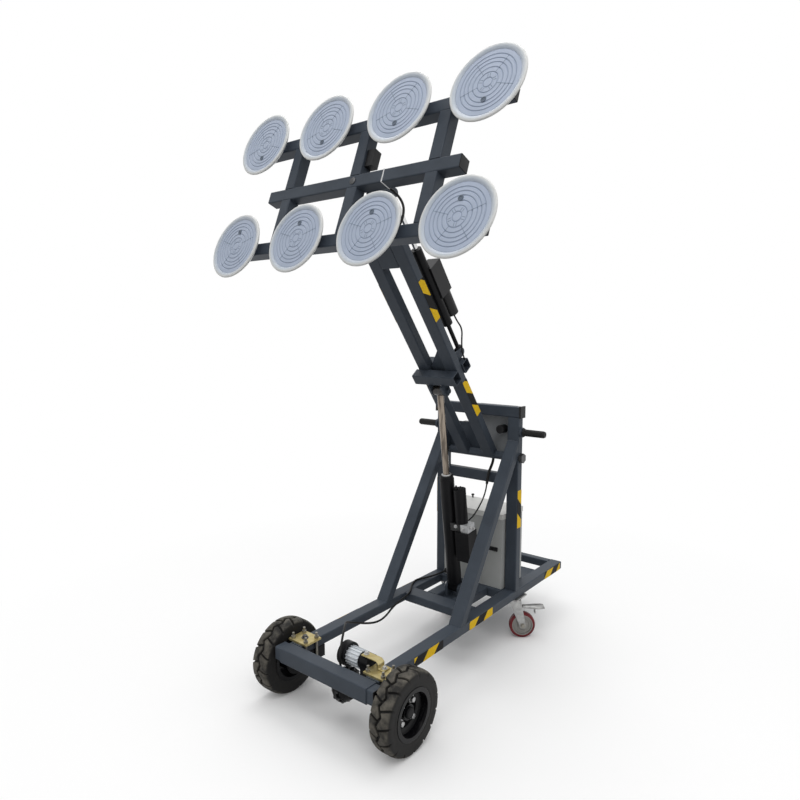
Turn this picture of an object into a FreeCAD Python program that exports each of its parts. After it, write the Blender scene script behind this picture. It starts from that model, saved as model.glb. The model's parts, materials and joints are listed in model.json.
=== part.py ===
"""Glass panel lifter: a wheeled chassis with a mast, a hydraulic boom and a tilting frame of suction cups.

Millimetres, +Z up, the origin on the floor under the middle of the machine. The cups face -Y.
"""
import FreeCAD, Part
import math
import os
from types import SimpleNamespace

import Sketcher
from FreeCAD import Rotation, Vector

SIZES = {
    # Shared stock and fits
    "tube_wall": 3, "corner_radius": 5, "running_gap": 0.05, "overrun": 10,
    # Chassis rails and cross tubes
    "rail_across": 60, "rail_deep": 40, "rail_centre": 200, "rail_bottom": 208, "rail_rear": 800,
    "beam_section": 60, "beam_reach": 225, "beam_lead": 80, "stub_gap": 0.25, "stub_show": 30,
    "stub_hidden": 60, "cross_deep": 40, "middle_front": 42, "middle_deep": 80, "box_tube_front": 256,
    "box_tube_rear": 430, "deck_centre": 70, "floor_front": 60, "floor_rear": 200, "floor_thick": 6,
    "tray_half": 155, "tray_front": 260, "tray_rear": 700, "tray_thick": 4,
    # Mast
    "post_place": 316, "post_deep": 40, "post_above": 190, "bar_high": 50, "mid_bar_below": 109,
    "brace_foot": 155, "brace_above": 46, "cap_thick": 10, "cap_lip": 2, "handle_drop": 69,
    "handle_radius": 12.5, "handle_reach": 115, "collar_radius": 23, "collar_thick": 12,
    "grip_radius": 16, "grip_bead": 3, "grip_start": 16, "grip_end": 7, "panel_thick": 4, "panel_lap": 30,
    "control_inner": 1, "control_high": 259, "pump_inner": 1, "pump_sheet": 160, "pump_drop": 54,
    "pump_radius": 34, "pump_long": 80, "pump_head": 45, "pump_deep": 72, "pump_high": 92,
    "pump_stand": 10, "estop_place": 133, "estop_below": 112, "estop_radius": 20, "estop_block": 45,
    "estop_neck": 11, "estop_stem": 8, "estop_bezel": 15, "estop_bezel_high": 8, "estop_lift": 5,
    "estop_head": 15,
    # Control box
    "box_half": 165, "box_front": 275, "box_deep": 195, "box_clear": 142, "box_wall": 2, "lid_high": 26,
    "lid_gap": 0.5, "battery_deep": 160, "battery_high": 190, "battery_gap": 12, "latch_place": 120,
    "latch_below": 173, "latch_long": 45, "latch_high": 18, "latch_deep": 6,
    # Drive axle
    "axle_ahead": 650, "axle_height": 150, "axle_radius": 24, "axle_reach": 247.5, "diff_radius": 58,
    "diff_drop": 15, "diff_back": 10, "diff_centre": 18, "diff_across": 84, "diff_flange": 66,
    "saddle_front": 34, "saddle_rear": 80, "saddle_drop": 48, "motor_back": 30, "motor_rise": 99,
    "motor_radius": 36, "motor_start": 25, "motor_long": 60, "fin_count": 16, "fin_deep": 5,
    "fin_across": 3, "cowl_radius": 46, "cowl_long": 32, "bell_radius": 30, "bell_long": 16,
    "gear_across": 32, "gear_half": 34, "clamp_across": 98, "clamp_deep": 84, "clamp_thick": 8,
    "ubolt_radius": 5, "ubolt_place": 36, "ubolt_show": 22, "ubolt_nut": 9, "ubolt_nut_high": 9,
    "brake_radius": 58, "brake_thick": 5, "brake_place": 242.5, "lever_long": 70, "lever_across": 12,
    # Drive wheels
    "wheel_centre": 310, "tyre_radius": 150, "tyre_half": 44, "bead_radius": 86, "tread_half": 36,
    "shoulder_radius": 138, "rim_lip": 8, "disc_thick": 6, "disc_radius": 60, "hub_radius": 28,
    "hub_long": 16, "shaft_radius": 17, "shaft_deep": 60, "drum_radius": 52, "drum_start": 58, "dish": 40,
    "tread_groove": 4, "lug_count": 20, "lug_groove": 8, "lug_deep": 9, "lug_slant": 24, "lug_sink": 1.5,
    # Casters
    "caster_place": 340, "caster_trail": 40, "caster_radius": 62.5, "caster_half": 16, "caster_core": 50,
    "caster_turn": 51, "caster_hub": 14, "caster_web": 5, "caster_axle": 6, "caster_plate": 6,
    "caster_plate_long": 100, "caster_plate_across": 84, "race_radius": 30, "race_high": 12,
    "fork_gap": 0.5, "fork_thick": 4, "fork_side": 3, "fork_boss": 15, "fork_shoulder": 30,
    "king_radius": 8, "pedal_thick": 4, "pedal_across": 26, "pedal_long": 145, "pedal_rise": 88,
    "pedal_eye": 7, "pedal_pin": 4, "pedal_tread": 46, "pedal_lip": 30,
    # Boom
    "pivot_height": 889, "pivot_radius": 15, "pivot_nut": 23, "pivot_nut_high": 18, "sleeve_radius": 19.5,
    "sleeve_half": 160, "boom_raise": 52.4, "boom_centre": 73, "boom_across": 60, "boom_deep": 40,
    "boom_length": 1323.5, "boom_short": 34, "cover_long": 224.5, "cover_thick": 8, "hinge_half": 28,
    "hinge_outer": 22, "hinge_pin": 12, "clamp_tube": 50, "clamp_half": 110, "clamp_back": 803.5,
    "gusset_high": 110, "gusset_thick": 6, "clevis_back": 866.5, "clevis_ahead": 58, "clevis_gap": 54,
    "clevis_thick": 12, "clevis_radius": 24, "clevis_pin": 12,
    # Lift cylinder
    "foot_place": 125, "foot_height": 268, "foot_gap": 54, "foot_thick": 12, "foot_radius": 25,
    "foot_pin": 10, "barrel_radius": 33.5, "barrel_start": 28, "barrel_top": 545, "gland_high": 16,
    "gland_radius": 31, "foot_eye": 22, "eye_half": 26, "rod_radius": 15, "rod_inside": 68, "rod_eye": 22,
    "barrel_bore": 26, "block_low": 306, "block_high": 36, "block_reach": 116, "block_deep": 54,
    "power_centre": 66, "power_radius": 29, "power_long": 163, "tank_left": 48, "tank_across": 72,
    "tank_long": 142,
    # Tilt actuator
    "tilt_arm": 80, "tilt_back": 754.5, "tilt_radius": 22, "tilt_start": 26, "tilt_short": 239.5,
    "tilt_rod": 10, "tilt_eye": 17, "tilt_eye_half": 7, "tilt_ear": 7, "tilt_ear_gap": 1, "tilt_pin": 6,
    "tilt_hidden": 400, "tilt_link": 9, "gearbox_back": 236, "gearbox_high": 143, "gearbox_half": 30,
    "gearbox_deep": 78,
    "tilt_motor_radius": 28, "tilt_motor_long": 112, "tilt_motor_back": 44,
    # Suction frame
    "frame_lean": 20.9, "frame_tube": 50, "hinge_behind": 70, "hinge_below": 48, "hinge_ear": 10,
    "hinge_ear_gap": 3, "hinge_ear_radius": 26, "main_half": 462, "row_half": 595, "row_rise": 229,
    "upright_place": 355, "cup_near": 177.3, "cup_far": 532, "cup_radius": 136.6, "cup_face": 46,
    "cup_plate": 116, "cup_plate_thick": 12, "cup_recess": 5, "cup_boss": 26, "lip_back": 20,
    "lip_edge": 3, "lip_flat": 9, "cup_port": 7, "cup_port_place": 61, "groove_deep": 2.5,
    "groove_half": 3, "valve_across": 36, "valve_deep": 34, "valve_low": 62, "valve_high": 66,
    # Cables and hose
    "cable_radius": 4.5, "lead_radius": 3.5, "cable_side": 150, "cable_rise": 20, "lead_side": 67,
    "lead_lap": 34, "lead_end": 60,
    "lead_run": 50, "lead_drop": 34, "hose_start": 102, "hose_end": 192,
}
ROUTES = {
    "motor_cable": ((-150, 232, 20), (-186, 170, 6), (-222, 104, 5), (-190, 30, 5), (-133, -52, 8.5),
                    (-155, -139, -20), (-142, -232, -52), (-140, -315, -42), (-150, -440, 8),
                    (-110, -510, 49)),
    "motor_loop": ((-55, 50, 68), (-8, -10, 72), (12, -42, 44), (18, -60, -6)),
    "pump_cable": ((68, 352, -27), (74, 322, -57), (80, 280, -89), (70, 276, -189), (60, 212, -265)),
    "tilt_cable": ((104, 120, 119), (104, 82, 77), (104, 56, 34)),
    "head_hose": ((154, 33, -26), (212, 37, -82), (229, 35, -136), (218, 33, -186)),
}
GROOVE_SHARES = (0.35, 0.6, 0.85)
BEND_SHARE = 0.45
for name, points in ROUTES.items():
    for index, point in enumerate(points):
        SIZES.update({f"{name}_{index}_{letter}": value for letter, value in zip("xyz", point)})

doc = FreeCAD.newDocument("GlassPanelLifter")
sheet = doc.addObject("Spreadsheet::Sheet", "Sizes")
for row, (alias, number) in enumerate(SIZES.items(), start=1):
    sheet.set(f"A{row}", alias)
    sheet.set(f"B{row}", str(number))
    sheet.setAlias(f"B{row}", alias)
doc.recompute()


class Size:
    """A size of the sheet, or a sum of such sizes: the expression that binds it, and its present value."""

    def __init__(self, text, number):
        self.text = text
        self.number = number

    def joined(self, sign, other, number):
        return Size(f"({self.text} {sign} {as_size(other).text})", number)

    def __add__(self, other):
        return self.joined("+", other, self.number + as_size(other).number)

    def __sub__(self, other):
        return self.joined("-", other, self.number - as_size(other).number)

    def __mul__(self, other):
        return self.joined("*", other, self.number * as_size(other).number)

    def __truediv__(self, other):
        return self.joined("/", other, self.number / as_size(other).number)

    def __neg__(self):
        return Size(f"(0 - {self.text})", -self.number)

    def __rmul__(self, other):
        return as_size(other) * self


def as_size(value):
    return value if isinstance(value, Size) else Size(f"{value}", value)


def cosine(angle):
    return Size(f"cos({angle.text} * 1 deg)", math.cos(math.radians(angle.number)))


def sine(angle):
    return Size(f"sin({angle.text} * 1 deg)", math.sin(math.radians(angle.number)))


def angle_of(rise, run):
    degrees = math.degrees(math.atan(rise.number / run.number))
    return Size(f"(atan({rise.text} / {run.text}) / 1 deg)", degrees)


size = SimpleNamespace(**{alias: Size(f"Sizes.{alias}", float(getattr(sheet, alias))) for alias in SIZES})
ALONG = {"x": Rotation(Vector(0, 1, 0), 90), "y": Rotation(Vector(-1, 0, 0), 90), "z": Rotation()}
nodes = {}


def bind(thing, path, value):
    thing.setExpression(path, as_size(value).text)


def put(thing, x=0, y=0, z=0):
    for letter, value in zip("xyz", (x, y, z)):
        bind(thing, f"Placement.Base.{letter}", value)
    return thing


def turn(thing, angle, axis):
    thing.Placement = FreeCAD.Placement(thing.Placement.Base, Rotation(axis, angle.number))
    bind(thing, "Placement.Rotation.Angle", angle)
    return thing


def block(name, low, high):
    """A box between two corners."""
    thing = doc.addObject("Part::Box", name)
    for side, start, end in zip(("Length", "Width", "Height"), low, high):
        bind(thing, side, as_size(end) - start)
    return put(thing, *low)


def rod(name, radius, length, start=(0, 0, 0), along="z"):
    """A round bar from its start along one axis."""
    thing = doc.addObject("Part::Cylinder", name)
    bind(thing, "Radius", radius)
    bind(thing, "Height", length)
    thing.Placement.Rotation = ALONG[along]
    return put(thing, *start)


def cut(name, base, *tools):
    thing = doc.addObject("Part::Cut", name)
    thing.Base = base
    thing.Tool = tools[0] if len(tools) == 1 else fuse(name + "_tools", *tools)
    return thing


def fuse(name, *pieces):
    thing = doc.addObject("Part::MultiFuse", name)
    thing.Shapes = list(pieces)
    thing.Refine = True
    return thing


def common(name, base, tool):
    thing = doc.addObject("Part::Common", name)
    thing.Base = base
    thing.Tool = tool
    return thing


def group(name, *pieces):
    thing = doc.addObject("Part::Compound", name)
    thing.Links = list(pieces)
    return thing


def mirrored(name, thing):
    """The same piece on the machine's other side."""
    copy = doc.addObject("Part::Mirroring", name)
    copy.Source = thing
    copy.Normal = Vector(1, 0, 0)
    return copy


def pair(name, thing):
    return group(name, thing, mirrored(name + "_left", thing))


def node(label, thing):
    thing.Label = label
    nodes[label] = thing
    return thing


def new_sketch(body, plane):
    sketch = body.newObject("Sketcher::SketchObject", body.Name + "_sketch")
    sketch.AttachmentSupport = [(next(p for p in body.Origin.OriginFeatures if p.Role == plane), "")]
    sketch.MapMode = "FlatFace"
    return sketch


def hold(sketch, kind, line, end, value):
    """Ties one coordinate of a sketch point to a size, measured from the sketch's origin."""
    if value.number == 0:
        axis = -2 if kind == "DistanceX" else -1
        sketch.addConstraint(Sketcher.Constraint("PointOnObject", line, end, axis))
        return
    ends = (-1, 1, line, end) if value.number > 0 else (line, end, -1, 1)
    index = sketch.addConstraint(Sketcher.Constraint(kind, *ends, abs(value.number)))
    sketch.setExpression(f"Constraints[{index}]", (value if value.number > 0 else -value).text)


def outline(sketch, points):
    """A closed outline of straight sides through points, each given as two sizes."""
    points = [tuple(as_size(value) for value in point) for point in points]
    spots = [Vector(x.number, y.number, 0) for x, y in points]
    first = sketch.GeometryCount
    count = len(points)
    for start, end in zip(spots, spots[1:] + spots[:1]):
        sketch.addGeometry(Part.LineSegment(start, end))
    for index, (x, y) in enumerate(points):
        before = first + (index - 1) % count
        sketch.addConstraint(Sketcher.Constraint("Coincident", before, 2, first + index, 1))
        hold(sketch, "DistanceX", first + index, 1, x)
        hold(sketch, "DistanceY", first + index, 1, y)


def turned(name, points):
    """A solid of revolution about its own Z axis, from points of radius and height."""
    body = doc.addObject("PartDesign::Body", name)
    sketch = new_sketch(body, "XZ_Plane")
    outline(sketch, points)
    feature = body.newObject("PartDesign::Revolution", name + "_turn")
    feature.Profile = sketch
    feature.ReferenceAxis = (sketch, ["V_Axis"])
    feature.Angle = 360
    return body


def padded(name, plane, thickness, *outlines):
    """A plate: its outlines on one of the origin's planes, raised evenly to both sides."""
    body = doc.addObject("PartDesign::Body", name)
    sketch = new_sketch(body, plane)
    for points in outlines:
        outline(sketch, points)
    feature = body.newObject("PartDesign::Pad", name + "_pad")
    feature.Profile = sketch
    feature.Midplane = True
    bind(feature, "Length", thickness)
    return body


def rounded(body, edges, radius, name="round"):
    """Rounds the edges of the body's last feature that the test picks."""
    doc.recompute()
    base = body.Tip
    picked = [f"Edge{i}" for i, edge in enumerate(base.Shape.Edges, start=1) if edges(edge)]
    fillet = body.newObject("PartDesign::Fillet", f"{body.Name}_{name}")
    fillet.Base = (base, picked)
    bind(fillet, "Radius", radius)
    return body


def corners(across, deep):
    return [(-across / 2, -deep / 2), (across / 2, -deep / 2), (across / 2, deep / 2),
            (-across / 2, deep / 2)]


def tube(name, across, deep, length, along="z", start=(0, 0, 0)):
    """A rounded rectangular tube from its start along one axis. Along x or y its depth stands up."""
    planes = {"x": "YZ_Plane", "y": "XZ_Plane", "z": "XY_Plane"}
    wall = 2 * size.tube_wall
    body = padded(name, planes[along], length, corners(across, deep), corners(across - wall, deep - wall))

    def long_corner(edge):
        spots = [vertex.Point for vertex in edge.Vertexes]
        span = spots[0] - spots[-1]
        own = {"x": span.x, "y": span.y, "z": span.z}[along]
        sides = {"x": ("y", "z"), "y": ("x", "z"), "z": ("x", "y")}[along]
        reach = [abs(getattr(spots[0], side)) for side in sides]
        outside = reach[0] + reach[1] > (across.number + deep.number) / 2 - size.tube_wall.number
        return abs(own) > length.number / 2 and outside

    rounded(body, long_corner, size.corner_radius)
    shift = {letter: value for letter, value in zip("xyz", start)}
    shift[along] = as_size(shift[along]) + length / 2
    return put(body, shift["x"], shift["y"], shift["z"])


def ear(name, low, high, foot, eye, radius, thickness, middle):
    """A lug plate square to X: a web between two heights at its foot, drawn in to a round eye."""
    eye_y, eye_z = eye
    web = padded(name + "_web", "YZ_Plane", thickness, [
        (foot, low), (foot, high), (eye_y, eye_z + radius), (eye_y, eye_z - radius)])
    put(web, middle, 0, 0)
    round_end = rod(name + "_eye", radius, thickness, (middle - thickness / 2, eye_y, eye_z), "x")
    return fuse(name, web, round_end)


def in_boom(thing):
    """Sets a piece that is drawn upright at the pivot onto the raised boom."""
    turn(thing, 90 * as_one - size.boom_raise, Vector(1, 0, 0))
    return put(thing, 0, size.post_place, size.pivot_height)


def in_lift(thing):
    """Sets a piece that is drawn upright at the foot pin onto the leaning lift cylinder."""
    turn(thing, lift_lean, Vector(1, 0, 0))
    return put(thing, 0, size.foot_place, size.foot_height)


def in_frame(thing):
    """Sets a piece that is drawn upright at the main tube's middle onto the leaning suction frame."""
    turn(thing, size.frame_lean, Vector(-1, 0, 0))
    return put(thing, 0, frame_y, frame_z)


as_one = as_size(1)
rail_top = size.rail_bottom + size.rail_deep
floor_top = size.rail_bottom + size.corner_radius + size.floor_thick
rail_inner = size.rail_centre - size.rail_across / 2
rail_outer = size.rail_centre + size.rail_across / 2
post_front = size.post_place - size.post_deep / 2
post_rear = size.post_place + size.post_deep / 2
axle_y = -size.axle_ahead
beam_y = axle_y - size.beam_lead
motor_y = axle_y + size.motor_back
motor_z = size.axle_height + size.motor_rise
post_top = size.pivot_height + size.post_above
handle_z = post_top - size.handle_drop
control_top = post_top + size.bar_high
control_bottom = control_top - size.control_high
estop_z = control_top - size.estop_below
pump_top = control_bottom + size.pump_sheet
brace_head = size.pivot_height + size.brace_above
mid_bar_z = size.pivot_height - size.mid_bar_below
box_top = mid_bar_z - size.bar_high / 2 - size.box_clear
latch_z = box_top - size.latch_below
boom_end = size.boom_length - size.boom_short
clamp_along = size.boom_length - size.clamp_back
clevis_along = size.boom_length - size.clevis_back
tilt_foot = size.boom_length - size.tilt_back
tilt_top = size.boom_length - size.tilt_short
gearbox_low = tilt_top - size.gearbox_back
tilt_low = gearbox_low - size.tilt_motor_long - size.tilt_eye
motor_end = size.motor_start + size.motor_long
diff_y = axle_y + size.diff_back
diff_z = size.axle_height - size.diff_drop
clevis_y = (size.post_place - clevis_along * cosine(size.boom_raise)
            - size.clevis_ahead * sine(size.boom_raise))
clevis_z = (size.pivot_height + clevis_along * sine(size.boom_raise)
            - size.clevis_ahead * cosine(size.boom_raise))
lift_lean = angle_of(size.foot_place - clevis_y, clevis_z - size.foot_height)
lift_span = (clevis_z - size.foot_height) / cosine(lift_lean)
hinge_y = size.post_place - size.boom_length * cosine(size.boom_raise)
hinge_z = size.pivot_height + size.boom_length * sine(size.boom_raise)
frame_y = hinge_y - size.hinge_behind * cosine(size.frame_lean) + size.hinge_below * sine(size.frame_lean)
frame_z = hinge_z + size.hinge_behind * sine(size.frame_lean) + size.hinge_below * cosine(size.frame_lean)


def chassis_rails():
    front = beam_y + size.beam_section / 2
    middle = size.rail_bottom + size.rail_deep / 2
    rail = tube("rail", size.rail_across, size.rail_deep, size.rail_rear - front, "y",
                (size.rail_centre, front, middle))
    node("side_rails", pair("side_rails", rail))


def front_beam():
    middle = rail_top - size.beam_section / 2
    beam = tube("beam", size.beam_section, size.beam_section, 2 * size.beam_reach, "x",
                (-size.beam_reach, beam_y, middle))
    section = size.beam_section - 2 * (size.tube_wall + size.stub_gap)
    stub = tube("stub", section, section, size.stub_show + size.stub_hidden, "x",
                (size.beam_reach - size.stub_hidden, beam_y, middle))
    node("front_beam", group("front_beam", beam, pair("beam_stubs", stub)))


def cross_tubes():
    middle = size.rail_bottom + size.rail_deep / 2
    pieces = []
    for name, front, deep in (("middle_tube", -size.middle_front, size.middle_deep),
                              ("box_front_tube", size.box_tube_front, size.cross_deep),
                              ("box_rear_tube", size.box_tube_rear, size.cross_deep),
                              ("rear_tube", size.rail_rear - size.cross_deep, size.cross_deep)):
        pieces.append(tube(name, deep, size.rail_deep, 2 * rail_inner, "x",
                           (-rail_inner, front + deep / 2, middle)))
    node("cross_tubes", group("cross_tubes", *pieces))


def actuator_deck():
    front = size.middle_deep - size.middle_front
    bar = tube("deck_tube", size.rail_across, size.rail_deep, size.box_tube_front - front, "y",
               (size.deck_centre, front, size.rail_bottom + size.rail_deep / 2))
    inner = size.deck_centre - size.rail_across / 2
    floor = block("deck_floor", (-inner, size.floor_front, floor_top - size.floor_thick),
                  (inner, size.floor_rear, floor_top))
    node("actuator_deck", group("actuator_deck", pair("deck_tubes", bar), floor, *lift_foot()))


def lift_foot():
    """Two ears on the deck's floor and the pin that carries the lift cylinder."""
    inner = size.foot_gap / 2
    outer = inner + size.foot_thick
    spot = (size.foot_place, size.foot_height)
    plate = block("foot_plate",
                  (inner, size.foot_place - size.foot_radius, floor_top),
                  (outer, size.foot_place + size.foot_radius, size.foot_height))
    eye = rod("foot_round", size.foot_radius, size.foot_thick, (inner, *spot), "x")
    hole = rod("foot_hole", size.foot_pin, size.foot_thick + 2 * size.overrun,
               (inner - size.overrun, *spot), "x")
    ears = pair("foot_ears", cut("foot_ear", fuse("foot_solid", plate, eye), hole))
    return ears, rod("foot_bolt", size.foot_pin, 2 * outer, (-outer, *spot), "x")


def rear_tray():
    node("rear_tray",
         block("rear_tray", (-size.tray_half, size.tray_front, size.rail_bottom - size.tray_thick),
                            (size.tray_half, size.tray_rear, size.rail_bottom)))


def mast():
    post = tube("post_tube", size.rail_across, size.post_deep, post_top - rail_top, "z",
                (size.rail_centre, size.post_place, rail_top))
    bore = rod("post_bore", size.pivot_radius + size.running_gap, size.rail_across + 2 * size.overrun,
               (rail_inner - size.overrun, size.post_place, size.pivot_height), "x")
    node("posts", pair("posts", cut("post", post, bore)))
    top = tube("top_bar", size.post_deep, size.bar_high, 2 * rail_outer, "x",
               (-rail_outer, size.post_place, post_top + size.bar_high / 2))
    middle = tube("mid_bar", size.post_deep, size.bar_high, 2 * rail_inner, "x",
                  (-rail_inner, size.post_place, mid_bar_z))
    node("mast_bars", group("mast_bars", top, middle))


def braces():
    run = post_front + size.brace_foot
    rise = brace_head - rail_top
    slope = angle_of(run, rise)
    reach = rise / cosine(slope) + 4 * size.post_deep
    bar = tube("brace_tube", size.rail_across, size.post_deep, reach, "z")
    turn(bar, slope, Vector(-1, 0, 0))
    put(bar, size.rail_centre, (post_front - size.brace_foot) / 2, (brace_head + rail_top) / 2)
    room = block("brace_room", (rail_inner - size.overrun, -size.brace_foot - size.rail_across, rail_top),
                 (rail_outer + size.overrun, post_front, post_top))
    node("braces", pair("braces", common("brace", bar, room)))


def end_caps():
    lip = size.cap_lip
    top = block("bar_cap", (rail_outer, post_front - lip, post_top - lip),
                (rail_outer + size.cap_thick, post_rear + lip, post_top + size.bar_high + lip))
    inner = size.beam_section / 2 - size.tube_wall - size.stub_gap
    middle = rail_top - size.beam_section / 2
    start = size.beam_reach + size.stub_show
    beam = block("stub_cap", (start, beam_y - inner, middle - inner),
                 (start + lip, beam_y + inner, middle + inner))
    node("end_caps", pair("end_caps", group("right_caps", top, beam)))


def handles():
    base = (rail_outer, size.post_place, handle_z)
    bar = rod("handle_tube", size.handle_radius, size.handle_reach, base, "x")
    collar = rod("handle_collar", size.collar_radius, size.collar_thick, base, "x")
    node("handle_bars", pair("handle_bars", fuse("handle_bar", bar, collar)))
    inner = size.handle_radius
    length = size.handle_reach - size.grip_start
    bead = size.grip_radius + size.grip_bead
    grip = turned("grip", [
        (inner, 0), (bead, 0), (bead, size.grip_bead), (size.grip_radius, 2 * size.grip_bead),
        (size.grip_radius, length), (size.grip_radius - size.grip_bead, length + size.grip_end),
        (0, length + size.grip_end), (0, length), (inner, length)])
    grip.Placement.Rotation = ALONG["x"]
    put(grip, rail_outer + size.grip_start, size.post_place, handle_z)
    node("handle_grips", pair("handle_grips", grip))


def control_panels():
    control = block("control_sheet", (size.control_inner, post_rear, control_bottom),
                    (rail_inner + size.panel_lap, post_rear + size.panel_thick, control_top))
    hole = rod("estop_hole", size.estop_neck, size.panel_thick + 2 * size.overrun,
               (size.estop_place, post_rear - size.overrun, estop_z), "y")
    node("control_plate", cut("control_plate", control, hole))
    node("pump_plate", block("pump_plate", (-rail_inner - size.panel_lap, post_rear, control_bottom),
                             (-size.pump_inner, post_rear + size.panel_thick, pump_top)))


def vacuum_pump():
    back = post_rear + size.panel_thick
    middle = pump_top - size.pump_drop
    right = -size.pump_inner - size.pump_stand
    left = right - size.pump_long
    axis = back + size.pump_stand + size.pump_radius
    motor = rod("pump_motor_can", size.pump_radius, size.pump_long, (left, axis, middle), "x")
    head = block("pump_head_block", (left - size.pump_head, back, middle - size.pump_high / 2),
                 (left, back + size.pump_deep, middle + size.pump_high / 2))
    foot = block("pump_foot", (left, back, middle - size.pump_radius / 2),
                 (right - size.pump_stand, axis, middle + size.pump_radius / 2))
    node("vacuum_pump", fuse("vacuum_pump", motor, head, foot))


def emergency_stop():
    front = post_rear - size.estop_block
    rear = post_rear + size.panel_thick
    seat = (size.estop_place, front, estop_z)
    contact = rod("estop_contact", size.estop_radius, size.estop_block, seat, "y")
    neck = rod("estop_neck_bar", size.estop_neck, size.estop_block + size.panel_thick, seat, "y")
    bezel = rod("estop_ring", size.estop_bezel, size.estop_bezel_high, (size.estop_place, rear, estop_z),
                "y")
    top = rear + size.estop_bezel_high
    depth = size.estop_bezel_high + size.estop_block / 2
    bore = rod("estop_bore", size.estop_stem + size.running_gap, depth + size.overrun,
               (size.estop_place, top - depth, estop_z), "y")
    node("estop_body", cut("estop_body", fuse("estop_solid", contact, neck, bezel), bore))
    stem = depth - 2 * size.estop_lift
    button = turned("estop_cap", [
        (0, 0), (size.estop_stem, 0), (size.estop_stem, stem + size.estop_lift),
        (size.estop_radius, stem + size.estop_lift),
        (size.estop_radius, stem + size.estop_lift + size.estop_head / 2),
        (size.estop_bezel, stem + size.estop_lift + size.estop_head),
        (0, stem + size.estop_lift + size.estop_head)])
    button.Placement.Rotation = ALONG["y"]
    put(button, size.estop_place, top - stem, estop_z)
    node("estop_button", button)


def hex_nut(name, radius, bore, high, start):
    """A hexagon nut along X, on a bar of the given bore."""
    prism = doc.addObject("Part::Prism", name + "_hex")
    prism.Polygon = 6
    bind(prism, "Circumradius", radius)
    bind(prism, "Height", high)
    prism.Placement.Rotation = ALONG["x"]
    put(prism, *start)
    x, y, z = start
    hole = rod(name + "_hole", bore, high + 2 * size.overrun, (as_size(x) - size.overrun, y, z), "x")
    return cut(name, prism, hole)


def pivot_shaft():
    half = rail_outer + size.pivot_nut_high
    bar = rod("pivot_bar", size.pivot_radius, 2 * half, (-half, size.post_place, size.pivot_height), "x")
    nut = hex_nut("pivot_nut", size.pivot_nut, size.pivot_radius, size.pivot_nut_high,
                  (rail_outer, size.post_place, size.pivot_height))
    node("pivot_shaft", group("pivot_shaft", bar, pair("pivot_nuts", nut)))


def control_box():
    wall = size.box_wall
    rear = size.box_front + size.box_deep
    top = box_top
    case = block("box_case", (-size.box_half, size.box_front, rail_top), (size.box_half, rear, top))
    room = block("box_room", (-size.box_half + wall, size.box_front + wall, rail_top + wall),
                 (size.box_half - wall, rear - wall, top + size.overrun))
    node("control_box", cut("control_box", case, room))
    out = wall + size.lid_gap
    lid = block("lid_case", (-size.box_half - out, size.box_front - out, top - size.lid_high + wall),
                (size.box_half + out, rear + out, top + wall))
    inside = size.lid_gap
    under = block("lid_room",
                  (-size.box_half - inside, size.box_front - inside, top - size.lid_high - size.overrun),
                  (size.box_half + inside, rear + inside, top))
    node("box_lid", cut("box_lid", lid, under))
    middle = size.box_front + size.box_deep / 2
    cell = block("battery_cell", (size.battery_gap / 2, middle - size.battery_deep / 2, rail_top + wall),
                 (size.box_half - wall - size.battery_gap, middle + size.battery_deep / 2,
                  rail_top + wall + size.battery_high))
    node("batteries", pair("batteries", cell))
    latch = block("latch_case", (size.latch_place - size.latch_long / 2, size.box_front - size.latch_deep,
                                 latch_z - size.latch_high / 2),
                  (size.latch_place + size.latch_long / 2, size.box_front, latch_z + size.latch_high / 2))
    grip = block("latch_grip",
                 (size.latch_place - size.latch_long / 3, size.box_front - size.latch_deep - size.overrun,
                                latch_z - size.latch_high / 4),
                 (size.latch_place + size.latch_long / 3, size.box_front - size.latch_deep / 2,
                  latch_z + size.latch_high / 4))
    node("box_latch", cut("box_latch", latch, grip))


def drive_axle():
    spot = (axle_y, size.axle_height)
    bar = rod("axle_bar", size.axle_radius, 2 * size.axle_reach, (-size.axle_reach, *spot), "x")
    low = (diff_y, diff_z)
    half = size.diff_across / 2
    shoulder = (size.diff_radius + size.axle_radius) / 2
    bulb = turned("diff_bulb", [(0, -half), (shoulder, -half), (size.diff_radius, -half / 2),
                                (size.diff_radius, half / 2), (shoulder, half), (0, half)])
    bulb.Placement.Rotation = ALONG["x"]
    put(bulb, size.diff_centre, *low)
    ring = rod("diff_ring", size.diff_flange, size.bell_long,
               (size.diff_centre - size.bell_long / 2, *low), "x")
    left = motor_end + size.bell_long
    gear = block("gear_case", (left, motor_y - size.gear_half, size.axle_height),
                 (left + size.gear_across, motor_y + size.gear_half, motor_z))
    top = rod("gear_top", size.gear_half, size.gear_across, (left, motor_y, motor_z), "x")
    foot = rod("gear_foot", size.gear_half, size.gear_across, (left, motor_y, size.axle_height), "x")
    saddle = block("saddle", (rail_inner, axle_y - size.saddle_front, size.rail_bottom - size.saddle_drop),
                   (rail_outer, axle_y + size.saddle_rear, size.rail_bottom))
    solid = fuse("axle_solid", bar, bulb, ring, gear, top, foot, saddle, mirrored("saddle_left", saddle))
    bore = rod("axle_bore", size.shaft_radius + size.running_gap, size.shaft_deep + size.overrun,
               (size.axle_reach - size.shaft_deep, *spot), "x")
    node("axle_housing", cut("axle_housing", solid, pair("axle_bores", bore)))


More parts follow.
